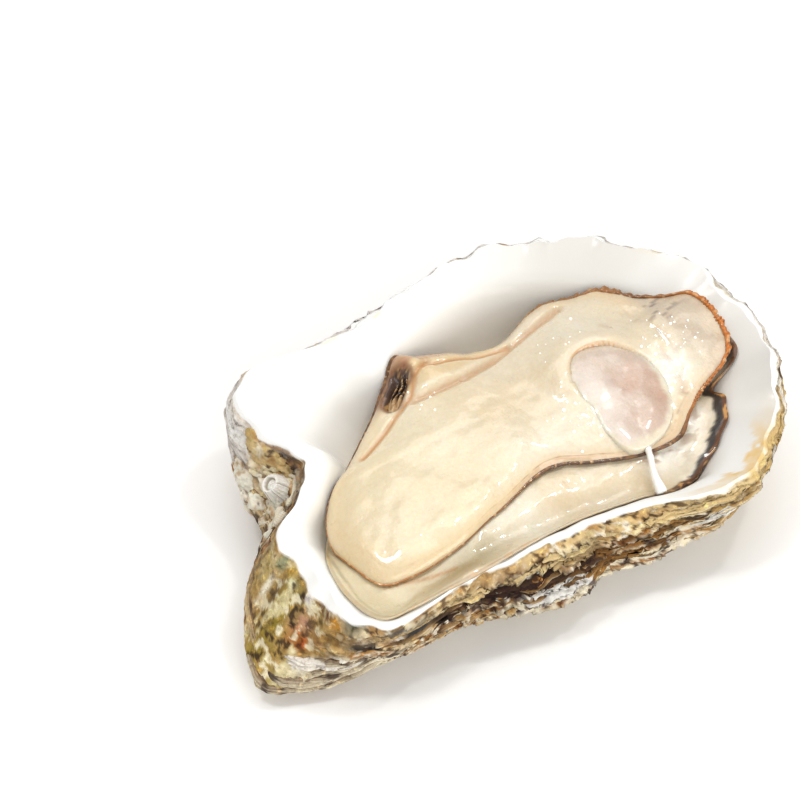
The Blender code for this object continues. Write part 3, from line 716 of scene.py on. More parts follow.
band_place = eased((angle - 288) / 22) * eased((337 - angle) / 3) + blot(angle, 341, 5)
inner_line = mix(0.985, 0.95, eased((angle - 300) / 25))
rays = 0.009 * grain(rows_of(angle * 6, share * 5), 1, 47)
band = eased((share - inner_line + 0.016 + rays) / 0.022) * np.clip(band_place, 0, 1)
greenish = np.exp(-(((x + 20) / 6) ** 2 + ((y + 21) / 3) ** 2))
hem_line = eased((share - 0.976) / 0.01) * np.clip(band_place + blot(angle, 225, 70) * 0.35, 0, 1)
gold = rough(points, 0.8, 2, 48)
colours = painted(
    CREAM, points,
    (CREAM_PALE, 0.5 + 0.5 * rough(flat, 9, 2, 45)),
    ((0.74, 0.64, 0.40), 0.5 * eased((angle - 170) / 20) * eased((225 - angle) / 15)),
    (GLASSY, 0.8 * blot(angle, 224, 10) * blot(share, 0.88, 0.08)),
    ((0.5, 0.45, 0.3), greenish * 0.7),
    ((0.5, 0.24, 0.06), blot(distance_to(x, y, SECOND_LINE), 0, 0.35) * 0.75),
    ((0.94, 0.92, 0.86), membrane * 0.9),
    ((0.34, 0.2, 0.1), membrane * eased((crumple - 0.45) / 0.2) * 0.7),
    (BAND_BLACK, band * 0.95),
    (HEM_BROWN, hem_line * 0.9),
    ((0.72, 0.42, 0.16), hem_line * eased((gold - 0.2) / 0.2) * 0.85),
)

lower_mantle = finished(lower_mesh, "lower_mantle_lobe", points, colours, flesh)
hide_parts("lower_mantle")


# ---- Body and upper mantle lobe ---------------------------------------------------------------
# The plump belly, and the upper flap of mantle that wraps it: cream, glossy, with soft creases, a
# rolled collar round the cut muscle, and a thin flap with a frilled tip at the wide end.

BODY_CENTRE = (5, -2)
# Angle, radius and height of the edge round the body's centre.
BODY_EDGE = [
    (0, 44.1, 26.3), (5, 40, 25), (12, 36.8, 24), (22, 35, 23.3), (30, 31.5, 22), (40, 28.6, 21),
    (57, 20, 19.5), (78, 19.4, 18), (93, 21.7, 19.4), (104, 24.2, 20.6), (111, 26.6, 20.8), (124, 26.4, 20),
    (140, 27.6, 18.4), (157, 32.6, 17.5), (170, 40.2, 17.5), (180, 44, 17.8), (190, 44.7, 18.3),
    (198, 44.5, 19), (203, 40.6, 20), (210, 33, 21), (220, 23.6, 21.3), (240, 15.5, 21.6),
    (266, 14, 21.8), (288, 19, 21.8), (302, 25.8, 22), (312, 31, 22.3), (322, 32.8, 22.8),
    (330, 36, 23.8), (340, 43.2, 25.4), (351, 44.9, 26.4),
]
BODY_CROWN = 25.6
# Creases: route in plan, depth, half width, and the strength from 0 to 1 of the brown shade painted in
# them.
CREASES = [
    ([(-24, 8), (-17, 10), (-12, 12), (-8, 13.5), (-5, 16.5), (-1, 18)], 0.8, 0.8, 0.8),
    ([(-11.6, 14.9), (-9.4, 16.6), (-7.4, 18.2)], 2.6, 1.9, 1.0),
    (
        [(-8.5, 11.8), (-3.5, 10.6), (2, 9.6), (9, 10.2), (16, 10.8), (23, 11.8), (27.5, 12.4)],
        1.3, 1.1, 0.5,
    ),
    ([(-2, 17), (4, 15), (9, 12.9), (14, 11.6)], 0.7, 0.7, 0.75),
    ([(37.5, 2.5), (38.5, -4), (37.5, -10)], 0.7, 1.4, 0.1),
    ([(35.5, -9), (35, -14), (33, -18.5)], 0.9, 0.9, 0.45),
]
# Small swellings of the skin beside the muscle: centre, half width, height.
LUMPS = [
    (35.5, -8.5, 1.6, 0.7), (34.2, -12.5, 1.5, 0.8), (36.8, -15, 1.7, 0.6), (33.6, -16.4, 1.4, 0.7),
    (31.5, -19.6, 1.5, 0.6), (28.2, -22.2, 1.4, 0.5), (38.6, -11.8, 1.3, 0.5),
]
MUSCLE_CENTRE = (22.5, -12)
MUSCLE_OUTLINE = [
    (12, 8.7), (52, 9.5), (84, 10.8), (107, 11.1), (146, 8), (182, 6.4), (216, 9), (238, 11.4),
    (266, 10.6), (296, 9.4), (332, 8.2),
]
# Middle and half width of the muscle's far side, in degrees round its centre.
MUSCLE_FAR_SIDE = (82, 62)
MUSCLE_TOP = 26.2
MUSCLE_TILT = 0.16
COLLAR = 0.9
# Painted shade colours for the creases, the crease round the muscle and a line by the near edge.
CREASE_SHADE_BROWN = (0.34, 0.16, 0.06)
CREASE_SHADE_ORANGE = (0.62, 0.30, 0.10)
TIP_GREY = (0.62, 0.53, 0.42)

TABLES["body"] = smoothed(BODY_EDGE)
TABLES["muscle"] = smoothed(MUSCLE_OUTLINE)


def body_polar(x, y):
    """Angle round the body's centre and the distance as a share of its outline."""
    angle = bearing(x, y, BODY_CENTRE)
    return angle, np.hypot(x - BODY_CENTRE[0], y - BODY_CENTRE[1]) / at("body", angle)[0]


def muscle_share(x, y):
    """Distance from the muscle's centre as a share of its outline, and the gap to it in mm."""
    outline = at("muscle", bearing(x, y, MUSCLE_CENTRE))[0]
    distance = np.hypot(x - MUSCLE_CENTRE[0], y - MUSCLE_CENTRE[1])
    return distance / outline, distance - outline


def far_of_muscle(x, y):
    """One on the far side of the muscle, falling to nothing round its near side."""
    return blot(bearing(x, y, MUSCLE_CENTRE), *MUSCLE_FAR_SIDE)


def muscle_height(y):
    """Height of the muscle's cut face, which tips down towards the near side."""
    return MUSCLE_TOP + MUSCLE_TILT * (y - MUSCLE_CENTRE[1])


def body_bed(x, y):
    """Height just clear of what the body lies on."""
    return np.maximum(lining_bed(x, y), lower_top(x, y) + 0.12)


def body_edge(angle):
    """Points of the body's edge at angles round its centre."""
    reach, height = at("body", angle)
    x, y = around(angle, reach, BODY_CENTRE)
    return x, y, np.maximum(height, body_bed(x, y) + 0.5)


def body_top(x, y):
    """Height of the body's upper face."""
    angle, share = body_polar(x, y)
    edge = body_edge(angle)[2]
    near_muscle = blot(np.maximum(muscle_share(x, y)[0] - 1.1, 0), 0, 0.55)
    collar = mix(0.2, COLLAR, far_of_muscle(x, y))
    crown = mix(BODY_CROWN, muscle_height(y) + collar, near_muscle)
    crown = mix(crown, np.maximum(crown, edge + 0.5), eased((share - 0.25) / 0.4))
    dome = np.sqrt(np.clip(1 - share**2.6, 0, 1))
    height = mix(edge, crown, dome)
    for route, depth, half_width, _ in CREASES:
        height -= depth * blot(distance_to(x, y, route), 0, half_width) * np.minimum(dome * 2, 1)
    return height


def body_skin(x, y):
    """Height of the wet skin, with its soft unevenness, lumps and the seat of the muscle."""
    flat = rows_of(x, y)
    height = body_top(x, y) + rough(flat, 9, 3, 51) * 0.35 + rough(flat, 2.2, 2, 53) * 0.05
    for centre_x, centre_y, width, rise in LUMPS:
        height += rise * np.exp(-(((x - centre_x) ** 2 + (y - centre_y) ** 2) / width**2))
    seat = mix(0.5, 2.6, far_of_muscle(x, y))
    return height - seat * eased((0.25 - muscle_share(x, y)[1]) / 0.6)


BODY_COLUMNS = 420
BODY_RINGS = 200
body_mesh, ring, column = sphere(BODY_COLUMNS, BODY_RINGS)
angle = column * 360 / BODY_COLUMNS
share = np.sin(math.pi * ring / BODY_RINGS) ** 0.9
x, y = around(angle, at("body", angle)[0] * share, BODY_CENTRE)
flat = rows_of(x, y)
bed = body_bed(x, y)
edge_height = body_edge(angle)[2]
top = np.maximum(body_skin(x, y), bed + 0.4)
gap = muscle_share(x, y)[1]
under = mix(bed, edge_height, share**14)
height = np.where(ring * 2 < BODY_RINGS, top, np.where(ring * 2 > BODY_RINGS, under, edge_height))
points = rows_of(x, y, height)

far_roll = eased((y - 11.2 - 0.02 * (x - 4) ** 2) / 1.5) * eased((20 - x) / 8)
tip = eased((x - 37) / 6)
rolled = blot(angle, 108, 17) * eased((share - 0.84) / 0.05)
stipple = grain(rows_of(angle * 1.1, share * 22), 1, 57)
stipple_rows = blot(np.hypot(x - 42, y + 0.5), 0, 4.2)
near_edge = blot(angle, 268, 48)
rim_by_pocket = blot(angle, 127, 11) * eased((share - 0.9) / 0.06)
shade = rough(flat, 1.3, 3, 62)
from_pocket = distance_to(x, y, CREASES[1][0])
tapered = 2.5 - 1.3 * np.clip((17.8 - y) / 3, 0, 1)
pocket_shade = eased((tapered + 0.6 * shade - from_pocket) / 0.7)
# Painted shade: brown in the pocket's crease and orange in the others.
crease_shade_coats = [
    (
        CREASE_SHADE_ORANGE if shade_strength < 1 else CREASE_SHADE_BROWN,
        shade_strength * np.exp(-((distance_to(x, y, route) / half_width * 1.4) ** 2)),
    )
    for route, _, half_width, shade_strength in CREASES
]
colours = painted(
    CREAM, points,
    (CREAM_PALE, 0.6 + 0.4 * rough(flat, 12, 2, 55)),
    (CREAM_WARM, 0.4 * eased((share - 0.82) / 0.16)),
    ((0.72, 0.55, 0.3), 0.6 * far_roll),
    ((0.80, 0.68, 0.43), 0.45 * eased((10 - x) / 34)),
    (TIP_GREY, tip * (0.85 + 0.3 * rough(flat, 4, 2, 56))),
    ((0.5, 0.29, 0.18), rolled * (0.85 + 0.4 * rough(flat, 1.6, 2, 60))),
    ((0.16, 0.13, 0.13), stipple_rows * eased((stipple - 0.3) / 0.3) * 0.75),
    *crease_shade_coats,
    # painted shade in the crease round the muscle's far side
    (CREASE_SHADE_ORANGE, far_of_muscle(x, y) * blot(gap, 0, 0.33) * 0.75),
    ((0.93, 0.9, 0.82), blot(np.hypot(x - 34.5, y + 13), 0, 4.5) * 0.9),
    ((0.64, 0.4, 0.24), near_edge * blot(share, 0.965, 0.018) * 0.55),
    # painted shade: a thin dark line just inside the near edge
    (CREASE_SHADE_BROWN, near_edge * blot(share, 0.938, 0.006) * (0.5 + 0.5 * rough(flat, 1, 2, 58))),
    ((0.17, 0.075, 0.03), rim_by_pocket * 0.8),
    # painted shade: dark brown round the pocket and near black in its hollow
    ((0.24, 0.09, 0.03), 0.75 * blot(from_pocket, tapered + 0.2, 0.7)),
    ((0.07, 0.03, 0.015), pocket_shade * 0.97),
    ((0.5, 0.3, 0.12), pocket_shade * eased((shade - 0.5) / 0.2) * 0.8),
)
body = finished(body_mesh, "belly_and_upper_mantle", points, colours, flesh)
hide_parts("body")


# ---- Mantle hem -------------------------------------------------------------------------------
# The thin frilled edge of the upper mantle: two dark fine folds on the near side, an orange comb
# of small tentacles round the tip, and brown tucks on the far side.

# Angle round the body, thickness in mm, then shares of orange and of darkness in its colour.
HEM = [
    (0, 0.5, 0.85, 0.2), (4, 0.5, 0.6, 0.5), (12, 0.5, 0.4, 0.7), (20, 0.8, 0.45, 0.5),
    (30, 0.7, 0.4, 0.6), (36, 0.5, 0.3, 0.6), (42, 0.75, 0.45, 0.5), (50, 0.35, 0.3, 0.4),
    (80, 0.5, 0.15, 0.5), (95, 0.6, 0.25, 0.65), (112, 0.7, 0.25, 0.9), (128, 0.5, 0.3, 0.95),
    (150, 0.42, 0.3, 0.95), (166, 0.36, 0.4, 0.95), (176, 0.16, 0.5, 0.2), (190, 0.2, 0.6, 0.15),
    (200, 0.26, 0.6, 0.25), (215, 0.34, 0.5, 0.6), (240, 0.42, 0.4, 0.85), (270, 0.46, 0.3, 1),
    (300, 0.5, 0.3, 1), (316, 0.5, 0.5, 0.9), (326, 0.4, 0.85, 0.4), (336, 0.52, 1, 0.12),
    (348, 0.56, 1, 0.1), (355, 0.54, 1, 0.15),
]
HEM_ORANGE = (0.62, 0.19, 0.01)
HEM_TAN = (0.48, 0.28, 0.11)
HEM_DARK = (0.06, 0.022, 0.007)
HEM_COLUMNS = 1500
HEM_SIDES = 14

TABLES["hem"] = smoothed(HEM)


def hoop(columns, sides):
    """A closed tube round Z as a bmesh, with each vertex's turn round Z and round the tube."""
    mesh = bmesh.new()
    bmesh.ops.create_circle(mesh, segments=sides, radius=0.3)
    lie = Matrix.Translation((1, 0, 0)) @ Matrix.Rotation(math.radians(90), 4, "X")
    bmesh.ops.transform(mesh, verts=mesh.verts, matrix=lie)
    bmesh.ops.spin(
        mesh, geom=mesh.verts[:] + mesh.edges[:], axis=(0, 0, 1), cent=(0, 0, 0),
        angle=2 * math.pi, steps=columns, use_merge=True,
    )
    bmesh.ops.remove_doubles(mesh, verts=mesh.verts, dist=1e-5)
    bmesh.ops.recalc_face_normals(mesh, faces=mesh.faces)
    places = np.array([vert.co for vert in mesh.verts])
    major = np.degrees(np.arctan2(places[:, 1], places[:, 0])) % 360
    minor = np.arctan2(places[:, 2], np.hypot(places[:, 0], places[:, 1]) - 1)
    return mesh, major, minor


hem_mesh, major, minor = hoop(HEM_COLUMNS, HEM_SIDES)
x, y, height = body_edge(major)
thickness, orange, dark = at("hem", major)
out_x, out_y = np.cos(np.radians(major)), np.sin(np.radians(major))
along = major * 0.75
comb = eased((orange - 0.75) / 0.2)
tooth = np.sin(along * 2 * math.pi / 0.85 * 1.15)
ruffled = np.clip(blot(major, 22, 24) + blot(major, 345, 14) + 0.12, 0, 1)
frill = (np.sin(along * 2.1) + 0.5 * np.sin(along * 4.7 + 1)) * ruffled
ragged = 1 + 0.9 * rough(rows_of(along * 0.5, 0), 1, 3, 63)
radius = thickness * (1 + 0.3 * comb * tooth * ragged + 0.14 * frill)
groove = 1 - 0.4 * blot(minor, math.pi * 0.42, 0.35) * (1 - comb)
outward = np.cos(minor) * radius * groove + 0.12 * frill
upward = np.sin(minor) * radius * groove * 0.85 + 0.15 + 0.12 * np.sin(along * 3.3) * ruffled
points = rows_of(x + out_x * outward, y + out_y * outward, height + upward)
speck = rough(points, 0.9, 2, 61)
upper = eased((np.sin(minor) - 0.2) / 0.5)
teeth = comb * eased((0.1 - tooth * ragged) / 0.4) * eased((np.cos(minor) - 0.1) / 0.4)
colours = painted(
    HEM_TAN, points,
    (HEM_ORANGE, orange * (0.9 + 0.3 * speck)),
    (HEM_DARK, dark * (1.1 + 0.5 * speck) * (1 - 0.25 * upper)),
    ((0.12, 0.04, 0.01), teeth * 0.85),
    ((0.72, 0.45, 0.22), eased((speck - 0.45) / 0.2) * 0.7),
)
hem_flesh = flesh_material("wet frilled hem", 0.35, 0.0003, 0.04)
hem = finished(hem_mesh, "mantle_hem", points, colours, hem_flesh)


# ---- Adductor muscle --------------------------------------------------------------------------
# The column that held the shell shut, cut across: a firm pearly pad with fine fibres that run
# through it end on, rosier towards its near right corner.

MUSCLE_PEARL = (0.61, 0.51, 0.43)
MUSCLE_ROSE = (0.52, 0.31, 0.21)
MUSCLE_COLUMNS = 220
MUSCLE_RINGS = 120
MUSCLE_CAP = 52

muscle_mesh, ring, column = sphere(MUSCLE_COLUMNS, MUSCLE_RINGS)
angle = column * 360 / MUSCLE_COLUMNS
share = np.minimum(np.minimum(ring, MUSCLE_RINGS - ring), MUSCLE_CAP) / MUSCLE_CAP
near_rim = 1 - blot(angle, *MUSCLE_FAR_SIDE)
reach = (at("muscle", angle)[0] + 0.35 + 0.7 * near_rim) * share
x, y = around(angle, reach, MUSCLE_CENTRE)
flat = rows_of(x, y)
low = lining_bed(x, y)
high = muscle_height(y) + 0.5 - (0.8 - 0.1 * near_rim) * share**7 + rough(flat, 5, 2, 71) * 0.22
down = np.clip((ring - MUSCLE_CAP) / (MUSCLE_RINGS - 2 * MUSCLE_CAP), 0, 1)
points = rows_of(x, y, mix(high, low, down))
rosy = blot(np.hypot(x - 25.5, (y + 16) * 0.8), 0, 6.5) * (0.9 + 0.5 * rough(flat, 5, 2, 73))
fibres = rough(flat, 3.2, 4, 75)
merging = eased((share - 0.8 + 0.06 * rough(flat, 3, 3, 79)) / 0.2)
colours = painted(
    MUSCLE_PEARL, points,
    (MUSCLE_ROSE, rosy * 0.8),
    ((0.80, 0.75, 0.70), 0.15 + 0.07 * fibres + 0.55 * blot(angle, 175, 60)),
    (CREAM_PALE, merging * (0.35 + 0.65 * near_rim)),
)
pearly = flesh_material("wet pearly muscle", 0.2, 0.00025, 0.45)
muscle = finished(muscle_mesh, "cut_muscle", points, colours, pearly)
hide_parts("adductor_muscle")


# ---- Gills ------------------------------------------------------------------------------------
# The frilled edges of the gills, which show as dark brown pleats with tan rims in the pocket under
# the mantle flap. They hang from the body and lie one over the next.

GILL_START = (-13, 13.6)
GILL_END = (-5.5, 18.6)
GILL_WIDTH = 2.6
GILL_HEIGHT = 1.7
GILL_TAN = (0.58, 0.38, 0.19)
GILL_DARK = (0.05, 0.025, 0.015)
GILL_COLUMNS = 180
GILL_RINGS = 140

gill_mesh, ring, column = sphere(GILL_COLUMNS, GILL_RINGS)
turns = column * 2 * math.pi / GILL_COLUMNS
share = np.sin(math.pi * ring / GILL_RINGS)
start, end = np.array(GILL_START), np.array(GILL_END)
along = (end - start) / 2
across = np.array((-along[1], along[0])) / np.hypot(*along) * GILL_WIDTH / 2
lengthwise, sideways = share * np.cos(turns), share * np.sin(turns)
plan = (start + end) / 2 + np.outer(lengthwise, along) + np.outer(sideways, across)
waver = 0.8 * grain(rows_of(*plan.T), 2.2, 77)
pleat = np.abs(np.cos(sideways * math.pi * 1.2 + 0.7 * np.sin(lengthwise * 5) + waver))
frill = 1 + 0.22 * np.sin(lengthwise * 34 + sideways * 5) + 0.15 * np.sin(lengthwise * 13)
bed = body_top(plan[:, 0], plan[:, 1]) + 0.15
height = bed + GILL_HEIGHT * (0.25 + 0.75 * pleat * frill) * (1 - share**4) * (ring * 2 < GILL_RINGS)
colours = painted(
    GILL_DARK, plan,
    (GILL_TAN, eased((pleat * frill - 0.78) / 0.4)),
    ((0.66, 0.47, 0.27), eased((-0.05 - lengthwise - 0.15 * waver) / 0.45) * 0.9),
)
pleated = flesh_material("wet brown gills", 0.25, 0.0003, 0.1)
gills = finished(gill_mesh, "gill_frills", rows_of(*plan.T, height), colours, pleated)
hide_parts("gills")


# ---- Strand of slime --------------------------------------------------------------------------
# A milky thread of slime that hangs from the body's near edge over the lower lobe and spreads in
# a small pad where it sticks to the shell's lip.

STRAND = [
    (20.2, -20.2, 23.6), (19.6, -22.6, 23.4), (18.4, -25, 23), (17, -27.4, 22.6), (15.9, -29.8, 21.9),
    (15.5, -32.3, 20.9),
]
STRAND_RADIUS = 0.6
SLIME = (0.93, 0.92, 0.88)
CORD_SIDES = 28
CORD_RINGS = 160


def cord(stations, radius, bore=0.0):
    """A round cord through stations in mm, as a bmesh with its points and their share along.

    The radius is a function of the share along. A bore, if any, runs back from the far end, and
    the last value says which points line it."""
    mesh, ring, column = sphere(CORD_SIDES, CORD_RINGS)
    route = np.array(stations, float)
    grid = np.linspace(0, len(route) - 1, 241)
    dense = rows_of(*(np.interp(grid, np.arange(len(route)), axis) for axis in route.T))
    padded = np.pad(dense, ((20, 20), (0, 0)), "edge")
    smooth = rows_of(*(np.convolve(axis, np.ones(41) / 41, "valid") for axis in padded.T))
    forward = np.gradient(smooth, axis=0)
    sideways = np.cross(forward, (0.1, 0.05, 1))
    sideways /= np.linalg.norm(sideways, axis=1)[:, None]
    upward = np.cross(sideways, forward / np.linalg.norm(forward, axis=1)[:, None])
    share = ring / CORD_RINGS
    inside = (share > 0.8) & (bore > 0)
    share = np.where(inside, 1.6 - 0.75 * share, share / (0.8 if bore else 1))
    share = np.clip(share, 0, 1)
    index = np.round(share * 240).astype(int)
    turn = column * 2 * math.pi / CORD_SIDES
    tip = np.minimum(share, 1 if bore else 1 - share)
    girth = radius(share) * np.sqrt(np.clip(tip / 0.04, 0, 1)) * np.where(inside, 1 - bore, 1)
    girth = np.where((ring == 0) | (ring == CORD_RINGS), 0, girth)
    points = smooth[index] + girth[:, None] * (
        np.cos(turn)[:, None] * sideways[index] + np.sin(turn)[:, None] * upward[index]
    )
    return mesh, points, share, inside


strand_mesh, points, share, _ = cord(
    STRAND, lambda share: STRAND_RADIUS * (1 + 1.1 * share**4 + 0.5 * blot(share, 0.1, 0.12))
)
points += rough(points, 1.4, 2, 81)[:, None] * 0.16
slime = flesh_material("milky slime", 0.15, 0.0002, 0.3)
strand = finished(strand_mesh, "slime_strand", points, painted(SLIME, points), slime)


# ---- Beads of brine ---------------------------------------------------------------------------
# Small drops of sea water that stand on the flesh in clusters, painted white and made to glow a little as
# highlights.

# Middle of a cluster in plan, its spread and its count.
CLUSTERS = [
    (38, -6, 3.2, 34), (13.5, -11, 3, 36), (27, -20, 2.6, 20), (33.5, -15, 2.6, 24), (43, -8, 3, 14),
    (20, 2, 4, 12), (-8, 10, 3, 8), (24, -9, 4, 8), (-33, -12, 4, 8), (-24, -20, 3, 6),
]
BEAD_HIGHLIGHT_WHITE = (0.97, 0.97, 0.96)


def swarm(count, columns, rings):
    """Unit spheres in one bmesh: each vertex's place on its sphere, and which sphere it is in."""
    mesh, _, _ = sphere(columns, rings)
    one = bpy.data.meshes.new("one of a swarm")
    mesh.to_mesh(one)
    for _ in range(count - 1):
        mesh.from_mesh(one)
    bpy.data.meshes.remove(one)
    places = np.array([vert.co for vert in mesh.verts])
    return mesh, places, np.arange(len(places)) * count // len(places)


chance = np.random.default_rng(7)
spots = np.concatenate([
    chance.normal((x, y), spread, (count, 2)) for x, y, spread, count in CLUSTERS
])
spots = spots[muscle_share(*spots.T)[1] > 0.8]
spots = spots[body_polar(*spots.T)[1] < 0.9]
bead_mesh, places, group = swarm(len(spots), 14, 10)
size = 0.13 + 0.24 * chance.random(len(spots)) ** 3
seat = rows_of(*spots.T, body_skin(*spots.T) + size * 0.1)
points = seat[group] + places * size[group][:, None]
brine = flesh_material("brine", 0.05, 0.00005, 0.0)
bead_glow_shader = brine.node_tree.nodes["Principled BSDF"]
# Painted highlight: the drops glow a little so that they show white.
bead_glow_shader.inputs["Emission Color"].default_value = (1, 0.99, 0.96, 1)
bead_glow_shader.inputs["Emission Strength"].default_value = 0.35
beads = finished(bead_mesh, "brine_beads", points, painted(BEAD_HIGHLIGHT_WHITE, points), brine)


# ---- Growth on the shell ----------------------------------------------------------------------
# What settled in the hollow below the shoulder: a barnacle shut by a lid sunk in its crater, chalky
# worm tubes with open ends, cream and yellow lumps, and brown crumbs. All of it is cemented on.

BARNACLE_ANGLE = 157
BARNACLE_STOP = 0.66
BARNACLE_SUNK = 0.8
# Outline of the barnacle from its mouth down to its foot: share of the way, radius, height in mm.
BARNACLE_PROFILE = [
    (0, 0, 3.4), (0.2, 1.1, 3.1), (0.26, 1.5, 3.9), (0.3, 1.7, 3.95), (0.34, 1.9, 3.585),
    (0.7, 3.1, 0.3), (0.8, 3.2, 0), (1, 0, 0),
]
BARNACLE_WHITE = (0.99, 0.975, 0.92)
BARNACLE_SIDES = 144
BARNACLE_RINGS = 90
WORM_CHALK = (0.86, 0.8, 0.66)
# Worm tubes: places on the outside as angle and stop, and the radius.
WORM_TUBES = [
    ([(168, 0.3), (170, 0.45), (168, 0.6), (164, 0.7)], 0.9),
    ([(161, 0.32), (164.5, 0.3), (166, 0.42), (163.5, 0.52)], 0.6),
    ([(155, 0.42), (158, 0.36), (161, 0.4)], 0.45),
]
# Lumps and crumbs: angle, stop, their spreads, size in mm, count, colour.
LUMPS_OF_GROWTH = [
    (150.5, 0.42, 2, 0.1, 1.5, 16, (0.68, 0.51, 0.25)), (153, 0.62, 2.2, 0.08, 1.2, 16, (0.94, 0.83, 0.6)),
    (148, 0.22, 2, 0.08, 1.3, 10, (0.62, 0.44, 0.18)), (158, 0.5, 2.5, 0.08, 0.9, 16, (0.75, 0.42, 0.13)),
    (156, 0.2, 3, 0.06, 0.8, 16, (0.12, 0.07, 0.045)), (163, 0.16, 2.5, 0.07, 0.8, 14, (0.4, 0.32, 0.22)),
    (169.5, 0.5, 1.5, 0.14, 0.6, 60, (0.13, 0.06, 0.03)), (170, 0.6, 1.8, 0.15, 0.5, 40, (0.4, 0.2, 0.07)),
    (163, 0.95, 4, 0.12, 0.9, 22, (0.8, 0.74, 0.6)), (152, 0.9, 4, 0.15, 1.5, 14, (0.9, 0.85, 0.72)),
]

growth_stone = Nodes("chalky growth")
growth_tint = growth_stone.stored("tint").outputs["Color"]
dusty = growth_stone.ramp(growth_stone.noise(700, 5, 0.7), 0.35, 0.65, 0.92, 1)
dusted = growth_stone.blend(dusty, (0.44, 0.32, 0.18), growth_tint)
growth_stone.link(dusted, growth_stone.shader.inputs["Base Color"])
growth_stone.set(Roughness=0.62, Subsurface_Weight=0.08, Subsurface_Scale=0.001)
pitted = growth_stone.maths(growth_stone.noise(900, 5, 0.7), growth_stone.noise(2600, 3, 0.6))
growth_stone.bump(pitted, 0.0003, 0.9)


def seats(angle, stop):
    """Places on the outside, and the directions along the margin, down the flank and outwards."""
    here = outside(angle, stop, 0.3)[0]
    along = outside(angle + 0.6, stop, 0.3)[0] - here
    down = outside(angle, stop + 0.03, 0.3)[0] - here
    along /= np.linalg.norm(along, axis=1)[:, None]
    down /= np.linalg.norm(down, axis=1)[:, None]
    out = np.cross(down, along)
    return here, along, down, out / np.linalg.norm(out, axis=1)[:, None]


def scattered(patches, furthest, least_stop):
    """The numbers, colour, angle and stop of every piece that the patches hold."""
    rows = [row for row in patches for _ in range(row[-2])]
    numbers = np.array([row[:-2] for row in rows], float)
    off = np.clip(chance.normal(0, 1, (len(rows), 2)), -furthest, furthest)
    angle = numbers[:, 0] + off[:, 0] * numbers[:, 2]
    stop = np.maximum(numbers[:, 1] + off[:, 1] * numbers[:, 3], least_stop)
    return numbers, np.array([row[-1] for row in rows]), angle, stop


barnacle_mesh, ring, column = sphere(BARNACLE_SIDES, BARNACLE_RINGS)
turn = column * 2 * math.pi / BARNACLE_SIDES
share = ring / BARNACLE_RINGS
way, radii, heights = zip(*BARNACLE_PROFILE)
plates = np.abs(np.sin(turn * 3 + 0.3 * np.sin(turn * 2)))
wall = eased((share - 0.26) / 0.1) * eased((0.82 - share) / 0.1)
ribs = wall * (0.09 * plates**0.3 - 0.05 + 0.03 * np.sin(turn * 24))
radius = np.interp(share, way, radii) * (1 + ribs)
from_slit = np.minimum(np.abs(np.sin(turn)), np.abs(np.cos(turn))) * radius
lid = eased((0.2 - share) / 0.08)
height = np.interp(share, way, heights) - 0.35 * lid * blot(from_slit, 0, 0.12)
axis = Vector((*(0.62 * part for part in around(BARNACLE_ANGLE, 1)), 0.78)).normalized()
upright = np.array(axis.to_track_quat("Z", "Y").to_matrix())
seat = outside(np.array([BARNACLE_ANGLE]), np.array([BARNACLE_STOP]), 0)[0][0]
local = rows_of(radius * np.cos(turn), radius * np.sin(turn), height - BARNACLE_SUNK)
points = seat + local @ upright.T + rough(local, 1.2, 2, 85)[:, None] * 0.1
# Painted shade in the grooves between the plates and in the ring round the sunk lid.
seam_shade = (1 - eased(plates / 0.25)) * wall * 0.7 + blot(share, 0.21, 0.03) * 0.8
colours = painted(
    BARNACLE_WHITE, points,
    ((0.9, 0.88, 0.8), plates * wall * 0.7),
    ((0.3, 0.24, 0.16), seam_shade),
)
barnacle = finished(barnacle_mesh, "barnacle_plates", points, colours, growth_stone.material)
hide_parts("barnacle")

for number, (places_on, tube_radius) in enumerate(WORM_TUBES):
    here, _, _, out = seats(*np.array(places_on, float).T)
    tube_mesh, points, share, inside = cord(
        here + out * tube_radius * 0.8, lambda share: tube_radius * (0.8 + 0.2 * share), bore=0.35
    )
    points += rough(points, 1, 2, 87)[:, None] * 0.07
    rings_on = 0.5 + 0.5 * np.sin(share * 130)
    colours = painted(
        WORM_CHALK, points,
        ((0.6, 0.48, 0.3), rings_on * 0.45),
        # painted shade inside the open bore
        ((0.05, 0.03, 0.02), inside * 1.0),
    )
    tube = finished(tube_mesh, "worm_tube_%d" % number, points, colours, growth_stone.material)
    if number == 0:
        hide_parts("worm_tube")

numbers, lump_colour, angle, stop = scattered(LUMPS_OF_GROWTH, 1.6, 0.1)
lump_mesh, places, group = swarm(len(numbers), 20, 14)
here, along, down, out = seats(angle, stop)
size = numbers[:, 4] * (0.45 + 0.8 * chance.random(len(numbers)) ** 1.5)
knobbly = 1 + 0.3 * rough(places * 2 + group[:, None] * 7.3, 1, 2, 89)
spread = places * knobbly[:, None] * size[group][:, None]
points = here[group] - out[group] * size[group][:, None] * 0.1 + spread[:, :1] * along[group] * 1.3
points += spread[:, 1:2] * down[group] + spread[:, 2:] * out[group] * 0.75
shadowed = eased((0.1 - places[:, 2]) / 0.5)
colours = painted(
    lump_colour[group], points,
    ((0.1, 0.055, 0.025), 0.6 * shadowed + 0.25 * grain(points, 0.8, 91)),
    ((0.95, 0.93, 0.85), 0.5 * eased(rough(points, 2, 2, 93))),
    ((0.45, 0.24, 0.08), 0.8 * eased(rough(points, 1.6, 3, 94) - 0.05)),
    ((0.07, 0.035, 0.02), 0.9 * eased((rough(points, 1.4, 2, 96) - 0.55) / 0.3)),
)
lumps = finished(lump_mesh, "growth_lumps", points, colours, growth_stone.material)


